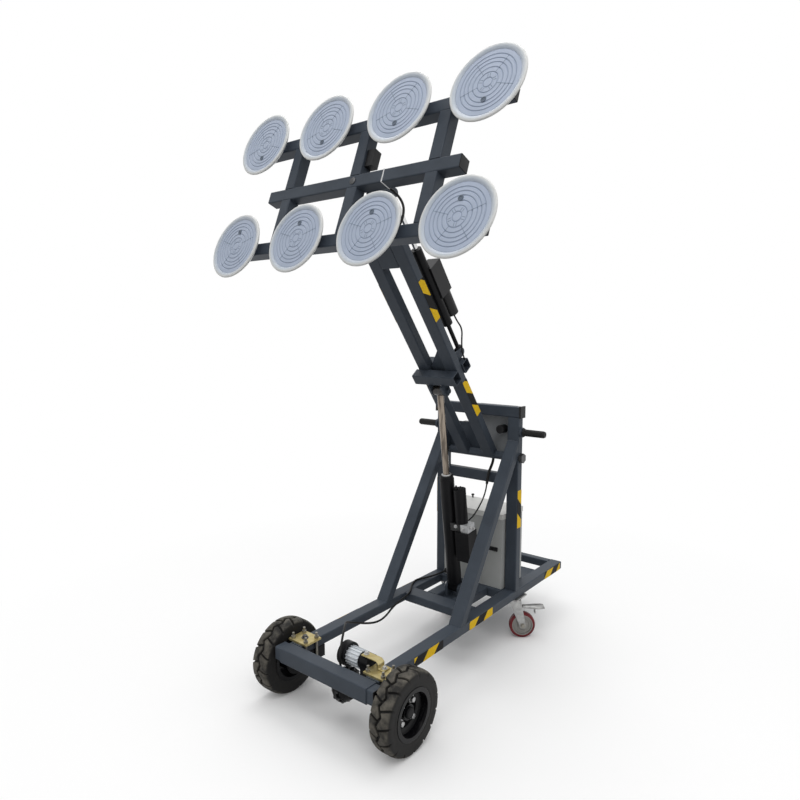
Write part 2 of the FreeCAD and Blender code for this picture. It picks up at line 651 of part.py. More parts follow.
def drive_motor():
    can = rod("motor_can", size.motor_radius - size.fin_deep, size.motor_long,
              (size.motor_start, motor_y, motor_z), "x")
    pieces = [can]
    for index in range(int(size.fin_count.number / 2)):
        fin = doc.addObject("Part::Box", f"fin_{index}")
        bind(fin, "Length", 2 * size.motor_radius)
        bind(fin, "Width", size.fin_across)
        bind(fin, "Height", size.motor_long)
        holder = group(f"fin_middle_{index}", put(fin, -size.motor_radius, -size.fin_across / 2, 0))
        around = Rotation(Vector(0, 0, 1), 360 * index / size.fin_count.number)
        holder.Placement.Rotation = ALONG["x"].multiply(around)
        pieces.append(put(holder, size.motor_start, motor_y, motor_z))
    node("drive_motor", fuse("drive_motor", *pieces))
    cowl = rod("motor_cowl", size.cowl_radius, size.cowl_long,
               (size.motor_start - size.cowl_long, motor_y, motor_z), "x")
    bell = rod("motor_bell", size.bell_radius, size.bell_long, (motor_end, motor_y, motor_z), "x")
    node("motor_caps", group("motor_caps", cowl, bell))


def axle_clamps():
    thick = size.clamp_thick
    plate = block("clamp_sheet",
                  (size.rail_centre - size.clamp_across / 2, axle_y - size.clamp_deep / 2, rail_top),
                  (size.rail_centre + size.clamp_across / 2, axle_y + size.clamp_deep / 2,
                   rail_top + thick))
    bend = size.axle_radius + size.ubolt_radius
    legs = [(size.rail_centre + side * size.ubolt_place, axle_y + way * bend)
            for side in (-1, 1) for way in (-1, 1)]
    holes = [rod(f"clamp_hole_{i}", size.ubolt_radius, thick + 2 * size.overrun,
                 (x, y, rail_top - size.overrun))
             for i, (x, y) in enumerate(legs)]
    node("clamp_plates", pair("clamp_plates", cut("clamp_plate", plate, *holes)))
    bolts = []
    height = rail_top + thick + size.ubolt_show - size.axle_height
    for index, side in enumerate((-1, 1)):
        x = size.rail_centre + side * size.ubolt_place
        arc = doc.addObject("Part::Torus", f"ubolt_arc_{index}")
        bind(arc, "Radius1", bend)
        bind(arc, "Radius2", size.ubolt_radius)
        arc.Angle3 = 180
        arc.Placement.Rotation = Rotation(Vector(0, -1, 0), Vector(0, 0, -1), Vector(1, 0, 0), "XYZ")
        put(arc, x, axle_y, size.axle_height)
        sides = [rod(f"ubolt_leg_{index}_{way}", size.ubolt_radius, height,
                     (x, axle_y + way * bend, size.axle_height))
                 for way in (-1, 1)]
        nuts = []
        for way in (-1, 1):
            nut = doc.addObject("Part::Prism", f"ubolt_nut_{index}_{way}")
            nut.Polygon = 6
            bind(nut, "Circumradius", size.ubolt_nut)
            bind(nut, "Height", size.ubolt_nut_high)
            nuts.append(put(nut, x, axle_y + way * bend, rail_top + thick))
        bolts.append(fuse(f"ubolt_{index}", arc, *sides, *nuts))
    node("u_bolts", pair("u_bolts", group("right_bolts", *bolts)))


def brake_plates():
    spot = (axle_y, size.axle_height)
    disc = rod("brake_disc", size.brake_radius, size.brake_thick, (size.brake_place, *spot), "x")
    hole = rod("brake_hole", size.axle_radius, size.brake_thick + 2 * size.overrun,
               (size.brake_place - size.overrun, *spot), "x")
    back = axle_y + size.brake_radius - size.lever_across
    arm = block("brake_arm",
                (size.brake_place - size.brake_thick, back - size.lever_across, size.axle_height),
                (size.brake_place, back, size.axle_height + size.lever_long))
    node("brake_plates", pair("brake_plates", fuse("brake_plate", cut("brake_ring", disc, hole), arm)))


def drive_wheel(side, way):
    """A wheel drawn about Z at its own middle, with +Z to the machine's outside."""
    half = size.tyre_half
    wall = size.tread_half
    lip = size.rim_lip
    notch = size.tread_groove
    floor = size.tyre_radius - size.lug_deep
    carcass = turned(f"{side}_carcass", [
        (size.bead_radius, -half + lip), (size.bead_radius + lip, -half),
        (size.shoulder_radius - lip, -half),
        (size.shoulder_radius, -wall), (size.tyre_radius, -wall + lip), (size.tyre_radius, -notch),
        (floor, -notch),
        (floor, notch), (size.tyre_radius, notch), (size.tyre_radius, wall - lip),
        (size.shoulder_radius, wall),
        (size.shoulder_radius - lip, half), (size.bead_radius + lip, half), (size.bead_radius, half - lip)])
    tyre = cut(f"{side}_tyre", carcass, group(f"{side}_grooves", *tread_grooves(side)))
    inner = size.bead_radius - lip
    face = half - size.dish
    back = face - size.disc_thick
    shaft = size.wheel_centre - size.axle_reach + size.shaft_deep - size.overrun
    rim = turned(f"{side}_rim", [
        (0, -shaft), (size.shaft_radius, -shaft), (size.shaft_radius, -size.drum_start),
        (size.drum_radius, -size.drum_start), (size.drum_radius, back), (inner, back), (inner, -half),
        (size.bead_radius + lip, -half), (size.bead_radius, lip - half), (size.bead_radius, half - lip),
        (size.bead_radius + lip, half), (inner, half), (inner, face + lip), (size.disc_radius, face),
        (size.hub_radius, face), (size.hub_radius, face + size.hub_long), (0, face + size.hub_long)])
    for label, thing in ((f"{side}_tyre", tyre), (f"{side}_rim", rim)):
        thing.Placement.Rotation = Rotation(Vector(0, 1, 0), way * 90)
        node(label, put(thing, way * size.wheel_centre, axle_y, size.axle_height))


def tread_grooves(side):
    """Slanted grooves between the lugs, in two staggered rows beside the middle groove."""
    floor = size.tyre_radius - size.lug_deep - size.lug_sink
    count = int(size.lug_count.number)
    grooves = []
    for row, way in enumerate((-1, 1)):
        for index in range(count):
            groove = doc.addObject("Part::Box", f"{side}_groove_{row}_{index}")
            bind(groove, "Length", size.lug_deep + size.lug_sink + size.overrun)
            bind(groove, "Width", size.lug_groove)
            bind(groove, "Height", size.tyre_half)
            put(groove, floor, -size.lug_groove / 2, 0)
            tilted = group(f"{side}_slant_{row}_{index}", groove)
            slant = (90 - 90 * way) + way * size.lug_slant.number
            tilted.Placement.Rotation = Rotation(Vector(1, 0, 0), slant)
            place = group(f"{side}_lug_{row}_{index}", tilted)
            place.Placement.Rotation = Rotation(Vector(0, 0, 1), 360 * (index + row / 2) / count)
            grooves.append(place)
    return grooves


def caster(side, way):
    """A caster drawn on its swivel axis with the wheel trailing to +Y, then turned and set under its rail."""

    def set_under(label, thing):
        turn(thing, size.caster_turn, Vector(0, 0, -1))
        node(label, put(thing, way * size.rail_centre, size.caster_place, 0))

    axle = (size.caster_trail, size.caster_radius)
    pin = (as_size(0), size.caster_radius + size.pedal_rise)
    set_under(f"{side}_caster_fork", caster_fork(side, axle, pin))
    width = size.caster_half
    edge = size.caster_radius - size.fork_side
    rim = size.caster_core - size.caster_web
    bore = size.caster_axle + size.running_gap
    web = size.caster_web
    tread = turned(f"{side}_tread_ring", [
        (size.caster_core, -width), (edge, -width), (size.caster_radius, -width / 2),
        (size.caster_radius, width / 2), (edge, width), (size.caster_core, width)])
    core = turned(f"{side}_core_disc", [
        (bore, -width), (size.caster_hub, -width), (size.caster_hub, -web), (rim, -web), (rim, -width),
        (size.caster_core, -width), (size.caster_core, width), (rim, width), (rim, web),
        (size.caster_hub, web),
        (size.caster_hub, width), (bore, width)])
    for label, thing in ((f"{side}_caster_tread", tread), (f"{side}_caster_core", core)):
        thing.Placement.Rotation = ALONG["x"]
        set_under(label, group(label, put(thing, 0, *axle)))
    set_under(f"{side}_caster_pedal", pedal(side, pin))


def caster_fork(side, axle, pin):
    race = size.rail_bottom - size.caster_plate - size.race_high
    crown = race - size.fork_gap
    inner = size.caster_half + size.fork_side
    half = inner + size.fork_thick
    shoulder = size.fork_shoulder
    pieces = [block(f"{side}_crown", (-half, -shoulder, crown - size.fork_thick), (half, shoulder, crown)),
              rod(f"{side}_king", size.king_radius, size.rail_bottom - crown, (0, 0, crown)),
              rod(f"{side}_axle", size.caster_axle, 2 * half, (-half, *axle), "x"),
              rod(f"{side}_pedal_pin", size.pedal_pin, 2 * half, (-half, *pin), "x")]
    for index, edge in enumerate((-1, 1)):
        leg = padded(f"{side}_leg_{index}", "YZ_Plane", size.fork_thick, [
            (-shoulder, crown), (axle[0] - size.fork_boss, axle[1]), (axle[0] + size.fork_boss, axle[1]),
            (shoulder, crown)])
        middle = edge * (inner + size.fork_thick / 2)
        pieces.append(put(leg, middle, 0, 0))
        start = (middle - size.fork_thick / 2, *axle)
        pieces.append(rod(f"{side}_boss_{index}", size.fork_boss, size.fork_thick, start, "x"))
    return fuse(f"{side}_fork", *pieces)


def pedal(side, pin):
    """A brake pedal on its cross pin: an eye, an arm over the wheel, a broad tread and a release tab."""
    y, z = pin
    half = size.pedal_across / 2
    broad = size.pedal_tread / 2
    low = z - size.pedal_thick / 2
    high = z + size.pedal_thick / 2
    end = y + size.pedal_long
    tab = end - size.pedal_tread
    eye = rod(f"{side}_pedal_eye", size.pedal_eye, size.pedal_across, (-half, y, z), "x")
    arm = block(f"{side}_pedal_arm", (-half, y, low), (half, end, high))
    tread = block(f"{side}_pedal_tread", (-broad, tab, low), (broad, end, high))
    lip = block(f"{side}_pedal_tab", (-half, tab, z - size.pedal_lip), (half, tab + size.pedal_thick, z))
    hole = rod(f"{side}_pedal_hole", size.pedal_pin + size.running_gap,
               size.pedal_across + 2 * size.overrun,
               (-half - size.overrun, y, z), "x")
    return cut(f"{side}_pedal", fuse(f"{side}_pedal_solid", eye, arm, tread, lip), hole)


def caster_plates():
    low = size.rail_bottom - size.caster_plate
    race_low = low - size.race_high
    x = size.rail_centre
    across = size.caster_plate_across / 2
    along = size.caster_plate_long / 2
    plate = block("caster_sheet", (x - across, size.caster_place - along, low),
                  (x + across, size.caster_place + along, size.rail_bottom))
    race = rod("caster_race", size.race_radius, size.race_high, (x, size.caster_place, race_low))
    bore = rod("caster_bore", size.king_radius + size.running_gap,
               size.rail_bottom - race_low + 2 * size.overrun,
               (x, size.caster_place, race_low - size.overrun))
    node("caster_plates",
         pair("caster_plates", cut("caster_plate", fuse("caster_mount", plate, race), bore)))


def boom():
    rail = tube("boom_tube", size.boom_across, size.boom_deep, boom_end, "z", (size.boom_centre, 0, 0))
    cope = rod("boom_cope", size.sleeve_radius, 2 * size.sleeve_half, (-size.sleeve_half, 0, 0), "x")
    low = block("boom_below", (0, -size.boom_deep, -size.overrun),
                (2 * size.boom_centre, size.boom_deep, 0))
    node("boom_rails", in_boom(pair("boom_rails", cut("boom_rail", rail, cope, low))))
    outer = rod("sleeve_outer", size.sleeve_radius, 2 * size.sleeve_half, (-size.sleeve_half, 0, 0), "x")
    bore = rod("sleeve_bore", size.pivot_radius + size.running_gap, 2 * (size.sleeve_half + size.overrun),
               (-size.sleeve_half - size.overrun, 0, 0), "x")
    sleeve = cut("boom_sleeve", outer, bore)
    inner = size.boom_centre - size.boom_across / 2
    face = size.boom_deep / 2
    covers = [block(f"boom_cover_{index}", (-inner, front, boom_end - size.cover_long),
                    (inner, front + size.cover_thick, boom_end))
              for index, front in enumerate((-face, face - size.cover_thick))]
    hinge = hinge_block(face - size.cover_thick)
    clamps = [tube(f"clamp_tube_{index}", size.clamp_tube, size.clamp_tube, 2 * size.clamp_half, "x",
                   (-size.clamp_half, way * (face + size.clamp_tube / 2), clamp_along))
              for index, way in enumerate((-1, 1))]
    start = clamp_along - size.clamp_tube / 2
    gusset = padded("boom_gusset", "XZ_Plane", size.gusset_thick, [
        (-inner, start), (inner, start), (inner, start + size.gusset_high + size.clamp_tube),
        (-inner, start + size.clamp_tube)])
    node("boom_crosspieces", in_boom(group("boom_crosspieces", sleeve, *covers, hinge, *clamps, gusset)))


def hinge_block(half_neck):
    """The boom's end: a neck between the cover plates and the bored eye of the suction frame's hinge."""
    neck = block("hinge_neck", (-size.hinge_half, -half_neck, size.boom_length - size.cover_long),
                 (size.hinge_half, half_neck, size.boom_length))
    eye = rod("hinge_eye", size.hinge_outer, 2 * size.hinge_half, (-size.hinge_half, 0, size.boom_length),
              "x")
    bore = rod("hinge_bore", size.hinge_pin + size.running_gap, 2 * (size.hinge_half + size.overrun),
               (-size.hinge_half - size.overrun, 0, size.boom_length), "x")
    return cut("hinge_block", fuse("hinge_solid", neck, eye), bore)


def boom_lugs():
    face = size.boom_deep / 2
    clamp_low = clamp_along - size.clamp_tube / 2
    middle = size.clevis_gap / 2 + size.clevis_thick / 2
    web = block("clevis_web",
                (middle - size.clevis_thick / 2, -size.clevis_ahead - size.clevis_radius, clevis_along),
                (middle + size.clevis_thick / 2, -size.clevis_ahead + size.clevis_radius, clamp_low))
    eye = rod("clevis_eye", size.clevis_radius, size.clevis_thick,
              (middle - size.clevis_thick / 2, -size.clevis_ahead, clevis_along), "x")
    head = rod("clevis_pin", size.clevis_pin, size.clevis_thick * 2,
               (middle - size.clevis_thick / 2, -size.clevis_ahead, clevis_along), "x")
    clevis = pair("clevis_ears", fuse("clevis_ear", web, eye, head))
    gap = size.tilt_eye_half + size.tilt_ear_gap
    lugs = [ear(f"tilt_lug_{index}", tilt_foot - size.tilt_eye, tilt_foot + 2 * size.tilt_eye, face,
                (size.tilt_arm, tilt_foot), size.tilt_eye, size.tilt_ear,
                size.boom_centre + way * (gap + size.tilt_ear / 2)) for index, way in enumerate((-1, 1))]
    reach = gap + size.tilt_ear + size.tilt_pin
    pin = rod("tilt_foot_pin", size.tilt_pin, 2 * reach,
              (size.boom_centre - reach, size.tilt_arm, tilt_foot), "x")
    node("boom_lugs", in_boom(group("boom_lugs", clevis, fuse("tilt_lug", *lugs, pin))))


def lift_cylinder():
    barrel = rod("barrel_tube", size.barrel_radius, size.barrel_top - size.barrel_start,
                 (0, 0, size.barrel_start))
    neck = block("barrel_neck", (-size.eye_half, -size.foot_eye, 0),
                 (size.eye_half, size.foot_eye, size.barrel_start))
    eye = rod("barrel_eye", size.foot_eye, 2 * size.eye_half, (-size.eye_half, 0, 0), "x")
    gland = rod("barrel_gland", size.gland_radius, size.gland_high, (0, 0, size.barrel_top))
    solid = fuse("barrel_solid", barrel, neck, eye, gland)
    hole = rod("barrel_pin_hole", size.foot_pin + size.running_gap, 2 * (size.eye_half + size.overrun),
               (-size.eye_half - size.overrun, 0, 0), "x")
    bore = rod("barrel_room", size.barrel_bore, size.barrel_top - 2 * size.barrel_start,
               (0, 0, 2 * size.barrel_start))
    throat = rod("barrel_throat", size.rod_radius + size.running_gap, size.barrel_top,
                 (0, 0, 2 * size.barrel_start))
    node("lift_barrel", in_lift(cut("lift_barrel", solid, hole, bore, throat)))
    high = size.block_low + size.block_high
    case = block("pump_case", (0, -size.block_deep / 2, size.block_low),
                 (size.block_reach, size.block_deep / 2, high))
    seat = rod("pump_seat", size.barrel_radius, size.barrel_top, (0, 0, size.barrel_start))
    node("pump_block", in_lift(cut("pump_block", case, seat)))
    motor = rod("power_motor", size.power_radius, size.power_long, (size.power_centre, 0, high))
    tank = block("oil_tank", (size.tank_left, -size.tank_across / 2, size.block_low - size.tank_long),
                 (size.tank_left + size.tank_across, size.tank_across / 2, size.block_low))
    node("power_unit", in_lift(group("power_unit", motor, tank)))
    inside = size.barrel_top - size.rod_inside
    stem = rod("rod_stem", size.rod_radius, lift_span - inside, (0, 0, inside))
    end = rod("rod_eye_ring", size.rod_eye, 2 * size.eye_half, (-size.eye_half, 0, lift_span), "x")
    node("lift_rod", in_lift(fuse("lift_rod", stem, end)))


def tilt_actuator():
    spot = (size.boom_centre, size.tilt_arm)
    tube_bar = rod("tilt_bar", size.tilt_radius, tilt_top - tilt_low, (*spot, tilt_low))
    link = rod("tilt_link_bar", size.tilt_link, tilt_low - tilt_foot - size.tilt_start,
               (*spot, tilt_foot + size.tilt_start))
    eye = rod("tilt_base_eye", size.tilt_eye, 2 * size.tilt_eye_half,
              (size.boom_centre - size.tilt_eye_half, size.tilt_arm, tilt_foot), "x")
    neck = block("tilt_base_neck",
                 (size.boom_centre - size.tilt_eye_half, size.tilt_arm - size.tilt_eye, tilt_foot),
                 (size.boom_centre + size.tilt_eye_half, size.tilt_arm + size.tilt_eye,
                  tilt_foot + size.tilt_start))
    hole = rod("tilt_base_hole", size.tilt_pin, 2 * (size.tilt_eye_half + size.overrun),
               (size.boom_centre - size.tilt_eye_half - size.overrun, size.tilt_arm, tilt_foot), "x")
    bore = rod("tilt_bore", size.tilt_rod + size.running_gap, tilt_top,
               (*spot, tilt_low + size.tilt_start))
    solid = fuse("tilt_solid", tube_bar, link, eye, neck)
    node("tilt_tube", in_boom(cut("tilt_tube", solid, hole, bore)))
    back = size.tilt_arm
    gearbox = block("tilt_gearbox", (size.boom_centre - size.gearbox_half, back, gearbox_low),
                    (size.boom_centre + size.gearbox_half, back + size.gearbox_deep,
                     gearbox_low + size.gearbox_high))
    seat = rod("tilt_seat", size.tilt_radius, tilt_top, (*spot, tilt_foot))
    motor = rod("tilt_motor_can", size.tilt_motor_radius, size.tilt_motor_long,
                (size.boom_centre, back + size.tilt_motor_back + size.overrun,
                 gearbox_low - size.tilt_motor_long))
    node("tilt_motor", in_boom(group("tilt_motor", cut("tilt_gear_case", gearbox, seat), motor)))
    stem = rod("tilt_stem", size.tilt_rod, size.tilt_hidden,
               (*spot, size.boom_length - size.tilt_start - size.tilt_hidden))
    ring = rod("tilt_end_eye", size.tilt_eye, 2 * size.tilt_eye_half,
               (size.boom_centre - size.tilt_eye_half, size.tilt_arm, size.boom_length), "x")
    shank = rod("tilt_shank", size.tilt_eye_half, size.tilt_start,
                (*spot, size.boom_length - size.tilt_start))
    node("tilt_rod", in_boom(fuse("tilt_rod", stem, ring, shank)))


def suction_frame():
    side = size.frame_tube
    rows = ((size.main_half, as_size(0)), (size.row_half, size.row_rise), (size.row_half, -size.row_rise))
    laterals = [tube(f"lateral_{index}", side, side, 2 * half, "x", (-half, 0, rise))
                for index, (half, rise) in enumerate(rows)]
    node("lateral_tubes", in_frame(group("lateral_tubes", *laterals)))
    uprights = []
    for index, x in enumerate((-size.upright_place, as_size(0), size.upright_place)):
        for row, low in enumerate((side / 2, side / 2 - size.row_rise)):
            uprights.append(tube(f"upright_{index}_{row}", side, side, size.row_rise - side, "z",
                                 (x, 0, low)))
    node("vertical_tubes", in_frame(group("vertical_tubes", *uprights)))


def frame_lugs():
    back = size.frame_tube / 2
    hinge = (size.hinge_behind, -size.hinge_below)
    middle = size.hinge_half + size.hinge_ear_gap + size.hinge_ear / 2
    plate = ear("hinge_ear", -back, back, back, hinge, size.hinge_ear_radius, size.hinge_ear, middle)
    reach = middle + size.hinge_ear
    pin = rod("hinge_bar", size.hinge_pin, 2 * reach, (-reach, *hinge), "x")
    swing = 90 * as_one - size.boom_raise + size.frame_lean
    eye = (size.hinge_behind + size.tilt_arm * cosine(swing),
           size.tilt_arm * sine(swing) - size.hinge_below)
    gap = size.tilt_eye_half + size.tilt_ear_gap
    ears = []
    for index, way in enumerate((-1, 1)):
        place = size.boom_centre + way * (gap + size.tilt_ear / 2)
        web = ear(f"tilt_ear_{index}", -back, back, back, eye, size.tilt_eye, size.tilt_ear, place)
        head = rod(f"tilt_stud_{index}", size.tilt_pin, size.tilt_ear + size.tilt_pin,
                   (place - size.tilt_ear / 2 - (size.tilt_pin if way < 0 else 0), *eye), "x")
        ears.append(fuse(f"tilt_ear_pinned_{index}", web, head))
    hinge_part = fuse("hinge_ears", plate, mirrored("hinge_ear_left", plate), pin)
    node("frame_lugs", in_frame(group("frame_lugs", hinge_part, *ears)))
    low = (back, -back / 2, size.valve_low)
    high = (back + size.valve_across, size.valve_deep - back / 2, size.valve_low + size.valve_high)
    node("vacuum_valve", in_frame(group("vacuum_valve", block("valve_body", low, high))))


def suction_cups():
    front = size.frame_tube / 2
    plates = []
    lips = []
    for index, (x, z) in enumerate((x, z) for z in (size.row_rise, -size.row_rise)
                                   for x in (-size.cup_far, -size.cup_near, size.cup_near, size.cup_far)):
        face = size.cup_face - size.cup_recess
        back = face - size.cup_plate_thick
        profile = [(0, 0), (size.cup_boss, 0), (size.cup_boss, back), (size.cup_plate, back),
                   (size.cup_plate, face)]
        for share in reversed(GROOVE_SHARES):
            middle = share * size.cup_plate
            profile += [(middle + size.groove_half, face), (middle, face - size.groove_deep),
                        (middle - size.groove_half, face)]
        disc = turned(f"cup_disc_{index}", profile + [(0, face)])
        lip = turned(f"cup_lip_{index}", [
            (size.cup_plate, back), (size.cup_plate + size.lip_edge, size.cup_face - size.lip_back),
            (size.cup_radius - size.lip_edge, size.cup_face - size.lip_edge),
            (size.cup_radius, size.cup_face),
            (size.cup_radius - size.lip_flat, size.cup_face), (size.cup_plate, face)])
        for thing in (disc, lip):
            thing.Placement.Rotation = Rotation(Vector(1, 0, 0), 90)
            put(thing, x, -front, z)
        way = -1 if z.number > 0 else 1
        port = rod(f"cup_port_{index}", size.cup_port, size.cup_plate_thick + 2 * size.overrun,
                   (x, -front - face - size.overrun, z + way * size.cup_port_place), "y")
        plates.append(cut(f"cup_plate_{index}", disc, port))
        lips.append(lip)
    node("cup_plates", in_frame(group("cup_plates", *plates)))
    node("cup_lips", in_frame(group("cup_lips", *lips)))


def cord(name, radius, points):
    """A round cord along straight runs joined by tangent arcs."""
    spots = [Vector(*(as_size(value).number for value in point)) for point in points]
    edges = []
    at = spots[0]
    for before, corner, after in zip(spots, spots[1:], spots[2:]):
        back = (before - corner).normalize()
        ahead = (after - corner).normalize()
        reach = BEND_SHARE * min(corner.distanceToPoint(before), corner.distanceToPoint(after))
        half_turn = (math.pi - back.getAngle(ahead)) / 2
        bend = reach / math.tan(half_turn)
        start = corner + back * reach
        end = corner + ahead * reach
        middle = corner + (back + ahead).normalize() * (bend / math.cos(half_turn) - bend)
        edges += [Part.makeLine(at, start), Part.Arc(start, middle, end).toShape()]
        at = end
    edges.append(Part.makeLine(at, spots[-1]))
    section = Part.Wire(Part.Circle(spots[0], spots[1] - spots[0], radius.number).toShape())
    thing = doc.addObject("Part::Feature", name)
    thing.Shape = Part.Wire(edges).makePipeShell([section], True, True)
    return thing


def route(name, y_base=0, z_base=0):
    """The middle points of a cord, from the sheet, measured from a base."""
    points = []
    for index in range(len(ROUTES[name])):
        x, y, z = (getattr(size, f"{name}_{index}_{letter}") for letter in "xyz")
        points.append((x, y + y_base, z + z_base))
    return points


def motor_route():
    """From the control box over the left rail, up over the drive motor and down onto the differential."""
    first = (-size.cable_side, size.box_front, rail_top + size.cable_rise)
    loop = route("motor_loop", motor_y, motor_z)
    x, y, z = loop[-1]
    lean = angle_of(y - diff_y, z - diff_z)
    last = (x, diff_y + size.diff_flange * sine(lean), diff_z + size.diff_flange * cosine(lean))
    return [first, *route("motor_cable", 0, rail_top), *loop, last]


def cables():
    node("motor_cable", cord("motor_cable", size.cable_radius, motor_route()))
    node("pump_cable", cord("pump_cable", size.lead_radius, pump_route()))
    low = gearbox_low - size.tilt_motor_long
    foot = clamp_along + size.clamp_tube / 2
    middle = route("tilt_cable", 0, foot)
    side = size.boom_centre + size.tilt_pin
    behind = size.tilt_arm + size.tilt_motor_back + size.overrun
    first = [(side, behind, low), (side, behind, low - size.lead_drop)]
    last = (middle[-1][0], middle[-1][1], foot)
    node("tilt_cable", in_boom(cord("tilt_cable", size.lead_radius, [*first, *middle, last])))
    rest = size.frame_tube / 2 + size.cable_radius
    hose = [(size.hose_start, rest, 0), *route("head_hose"), (size.hose_end, rest, -size.row_rise)]
    node("head_hose", in_frame(cord("head_hose", size.cable_radius, hose)))


def pump_route():
    """From the control plate's back, under the pivot, over the middle bar and square onto the pump block."""
    along = size.block_low + size.block_high / 2
    ends = []
    for reach in (size.block_deep / 2 + size.lead_run, size.block_deep / 2):
        ends.append((size.lead_end, size.foot_place - along * sine(lift_lean) + reach * cosine(lift_lean),
                     size.foot_height + along * cosine(lift_lean) + reach * sine(lift_lean)))
    top = (size.lead_side, post_rear + size.panel_thick + size.lead_radius, control_bottom + size.lead_lap)
    return [top, *route("pump_cable", 0, size.pivot_height), *ends]


chassis_rails()
front_beam()
cross_tubes()
actuator_deck()
rear_tray()
mast()
braces()
end_caps()
handles()
control_panels()
vacuum_pump()
emergency_stop()
pivot_shaft()
control_box()
drive_axle()
drive_motor()
axle_clamps()
brake_plates()
for side_name, side_way in (("left", -1), ("right", 1)):
    drive_wheel(side_name, side_way)
    caster(side_name, side_way)
caster_plates()
boom()
boom_lugs()
lift_cylinder()
tilt_actuator()
suction_frame()
frame_lugs()
suction_cups()
cables()
doc.recompute()

faults = [thing.Name for thing in doc.Objects if "Invalid" in thing.State or "Error" in thing.State]
for label, thing in nodes.items():
    if thing.Shape.isNull() or not thing.Shape.isValid() or not thing.Shape.Solids:
        faults.append(label)
if faults:
    raise RuntimeError("failed: " + ", ".join(faults))
os.makedirs("parts", exist_ok=True)
for label, thing in nodes.items():
    thing.Shape.exportStep(f"parts/{label}.step")
print(len(nodes), "nodes written")
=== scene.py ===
"""Glass panel lifter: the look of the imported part, in metres and in the part's own frame."""
import json
import math

import bmesh
import bpy
import numpy as np
from mathutils import Euler, Matrix, Vector


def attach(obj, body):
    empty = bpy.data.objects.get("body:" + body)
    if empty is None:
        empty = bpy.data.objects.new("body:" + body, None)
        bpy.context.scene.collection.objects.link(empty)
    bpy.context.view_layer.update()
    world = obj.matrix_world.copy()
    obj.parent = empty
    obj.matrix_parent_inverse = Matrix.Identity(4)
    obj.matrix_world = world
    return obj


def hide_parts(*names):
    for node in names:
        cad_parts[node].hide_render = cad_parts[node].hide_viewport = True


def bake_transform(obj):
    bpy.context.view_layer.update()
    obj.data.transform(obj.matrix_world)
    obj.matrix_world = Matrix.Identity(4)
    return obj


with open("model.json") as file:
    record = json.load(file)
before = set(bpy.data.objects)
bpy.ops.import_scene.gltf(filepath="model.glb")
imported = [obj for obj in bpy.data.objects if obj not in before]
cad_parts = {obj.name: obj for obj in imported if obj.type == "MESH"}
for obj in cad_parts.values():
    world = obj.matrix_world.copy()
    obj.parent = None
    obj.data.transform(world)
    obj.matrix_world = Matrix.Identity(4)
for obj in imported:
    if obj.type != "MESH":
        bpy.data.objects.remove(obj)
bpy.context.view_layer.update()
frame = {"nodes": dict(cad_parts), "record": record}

NODES = frame["nodes"]
SCENE = bpy.context.scene

# Where the moving groups stand at rest
PIVOT = (0, 0.316, 0.889)
BOOM_RISE = math.radians(52.4)
BOOM_LENGTH = 1.3235
HEAD_LEAN = math.radians(20.9)
HEAD_OFFSET = (0, -0.070, 0.048)
LIFT_FOOT = (0, 0.125, 0.268)
LIFT_LEAN = math.radians(8.0356)
CASTER_TURN = math.radians(51)
BOOM = Matrix.Translation(PIVOT) @ Matrix.Rotation(math.pi / 2 - BOOM_RISE, 4, "X")
HINGE = BOOM @ Vector((0, 0, BOOM_LENGTH))
HEAD = (Matrix.Translation(HINGE) @ Matrix.Rotation(-HEAD_LEAN, 4, "X")
        @ Matrix.Translation(HEAD_OFFSET))
LIFT = Matrix.Translation(LIFT_FOOT) @ Matrix.Rotation(LIFT_LEAN, 4, "X")
FORWARD = Matrix.Rotation(math.pi / 2, 4, "X")

# Sizes that several pieces share
SIDES = (("left", -1), ("right", 1))
AXLE = Vector((0, -0.65, 0.15))
FRAME_TUBE_HALF = 0.025
CUP_ROW = 0.229
CUPS = [(x, z) for z in (CUP_ROW, -CUP_ROW) for x in (-0.532, -0.1773, 0.1773, 0.532)]
CUP_RINGS = (0.0165, 0.0360, 0.0530, 0.0699, 0.0842, 0.0985)
DISC_FACE = 0.041
DISC_BACK = 0.029
RIDGE_SEAT = DISC_FACE - 0.0002
TAPE_PITCH = 0.142


# Shader helpers
def feed(tree, entry, value):
    """Sets a socket, or links it where the value is a socket itself."""
    if isinstance(value, bpy.types.NodeSocket):
        tree.links.new(value, entry)
    else:
        entry.default_value = value


def socket(tree, name, value):
    """Sets or links a socket of the surface's shader."""
    feed(tree, tree.nodes["Principled BSDF"].inputs[name], value)


def add(tree, kind, **values):
    """A new node, with values for its sockets or its settings."""
    made = tree.nodes.new(kind)
    for key, value in values.items():
        if key in made.inputs:
            made.inputs[key].default_value = value
        else:
            setattr(made, key, value)
    return made


def coords(tree):
    return tree.nodes.new("ShaderNodeTexCoord").outputs["Object"]


def axes(tree, source="Object"):
    """The X, Y and Z of a texture coordinate."""
    parts = tree.nodes.new("ShaderNodeSeparateXYZ")
    tree.links.new(tree.nodes.new("ShaderNodeTexCoord").outputs[source], parts.inputs["Vector"])
    return parts.outputs


def noise(tree, scale, detail=4.0):
    made = add(tree, "ShaderNodeTexNoise", Scale=scale, Detail=detail, Roughness=0.55)
    tree.links.new(coords(tree), made.inputs["Vector"])
    return made.outputs["Fac"]


def ramp(tree, value, stops):
    """A colour from stops of place and colour."""
    made = tree.nodes.new("ShaderNodeValToRGB")
    points = made.color_ramp.elements
    while len(points) < len(stops):
        points.new(0.5)
    for point, (place, colour) in zip(points, stops):
        point.position = place
        point.color = (*colour, 1)
    tree.links.new(value, made.inputs["Fac"])
    return made.outputs["Color"]


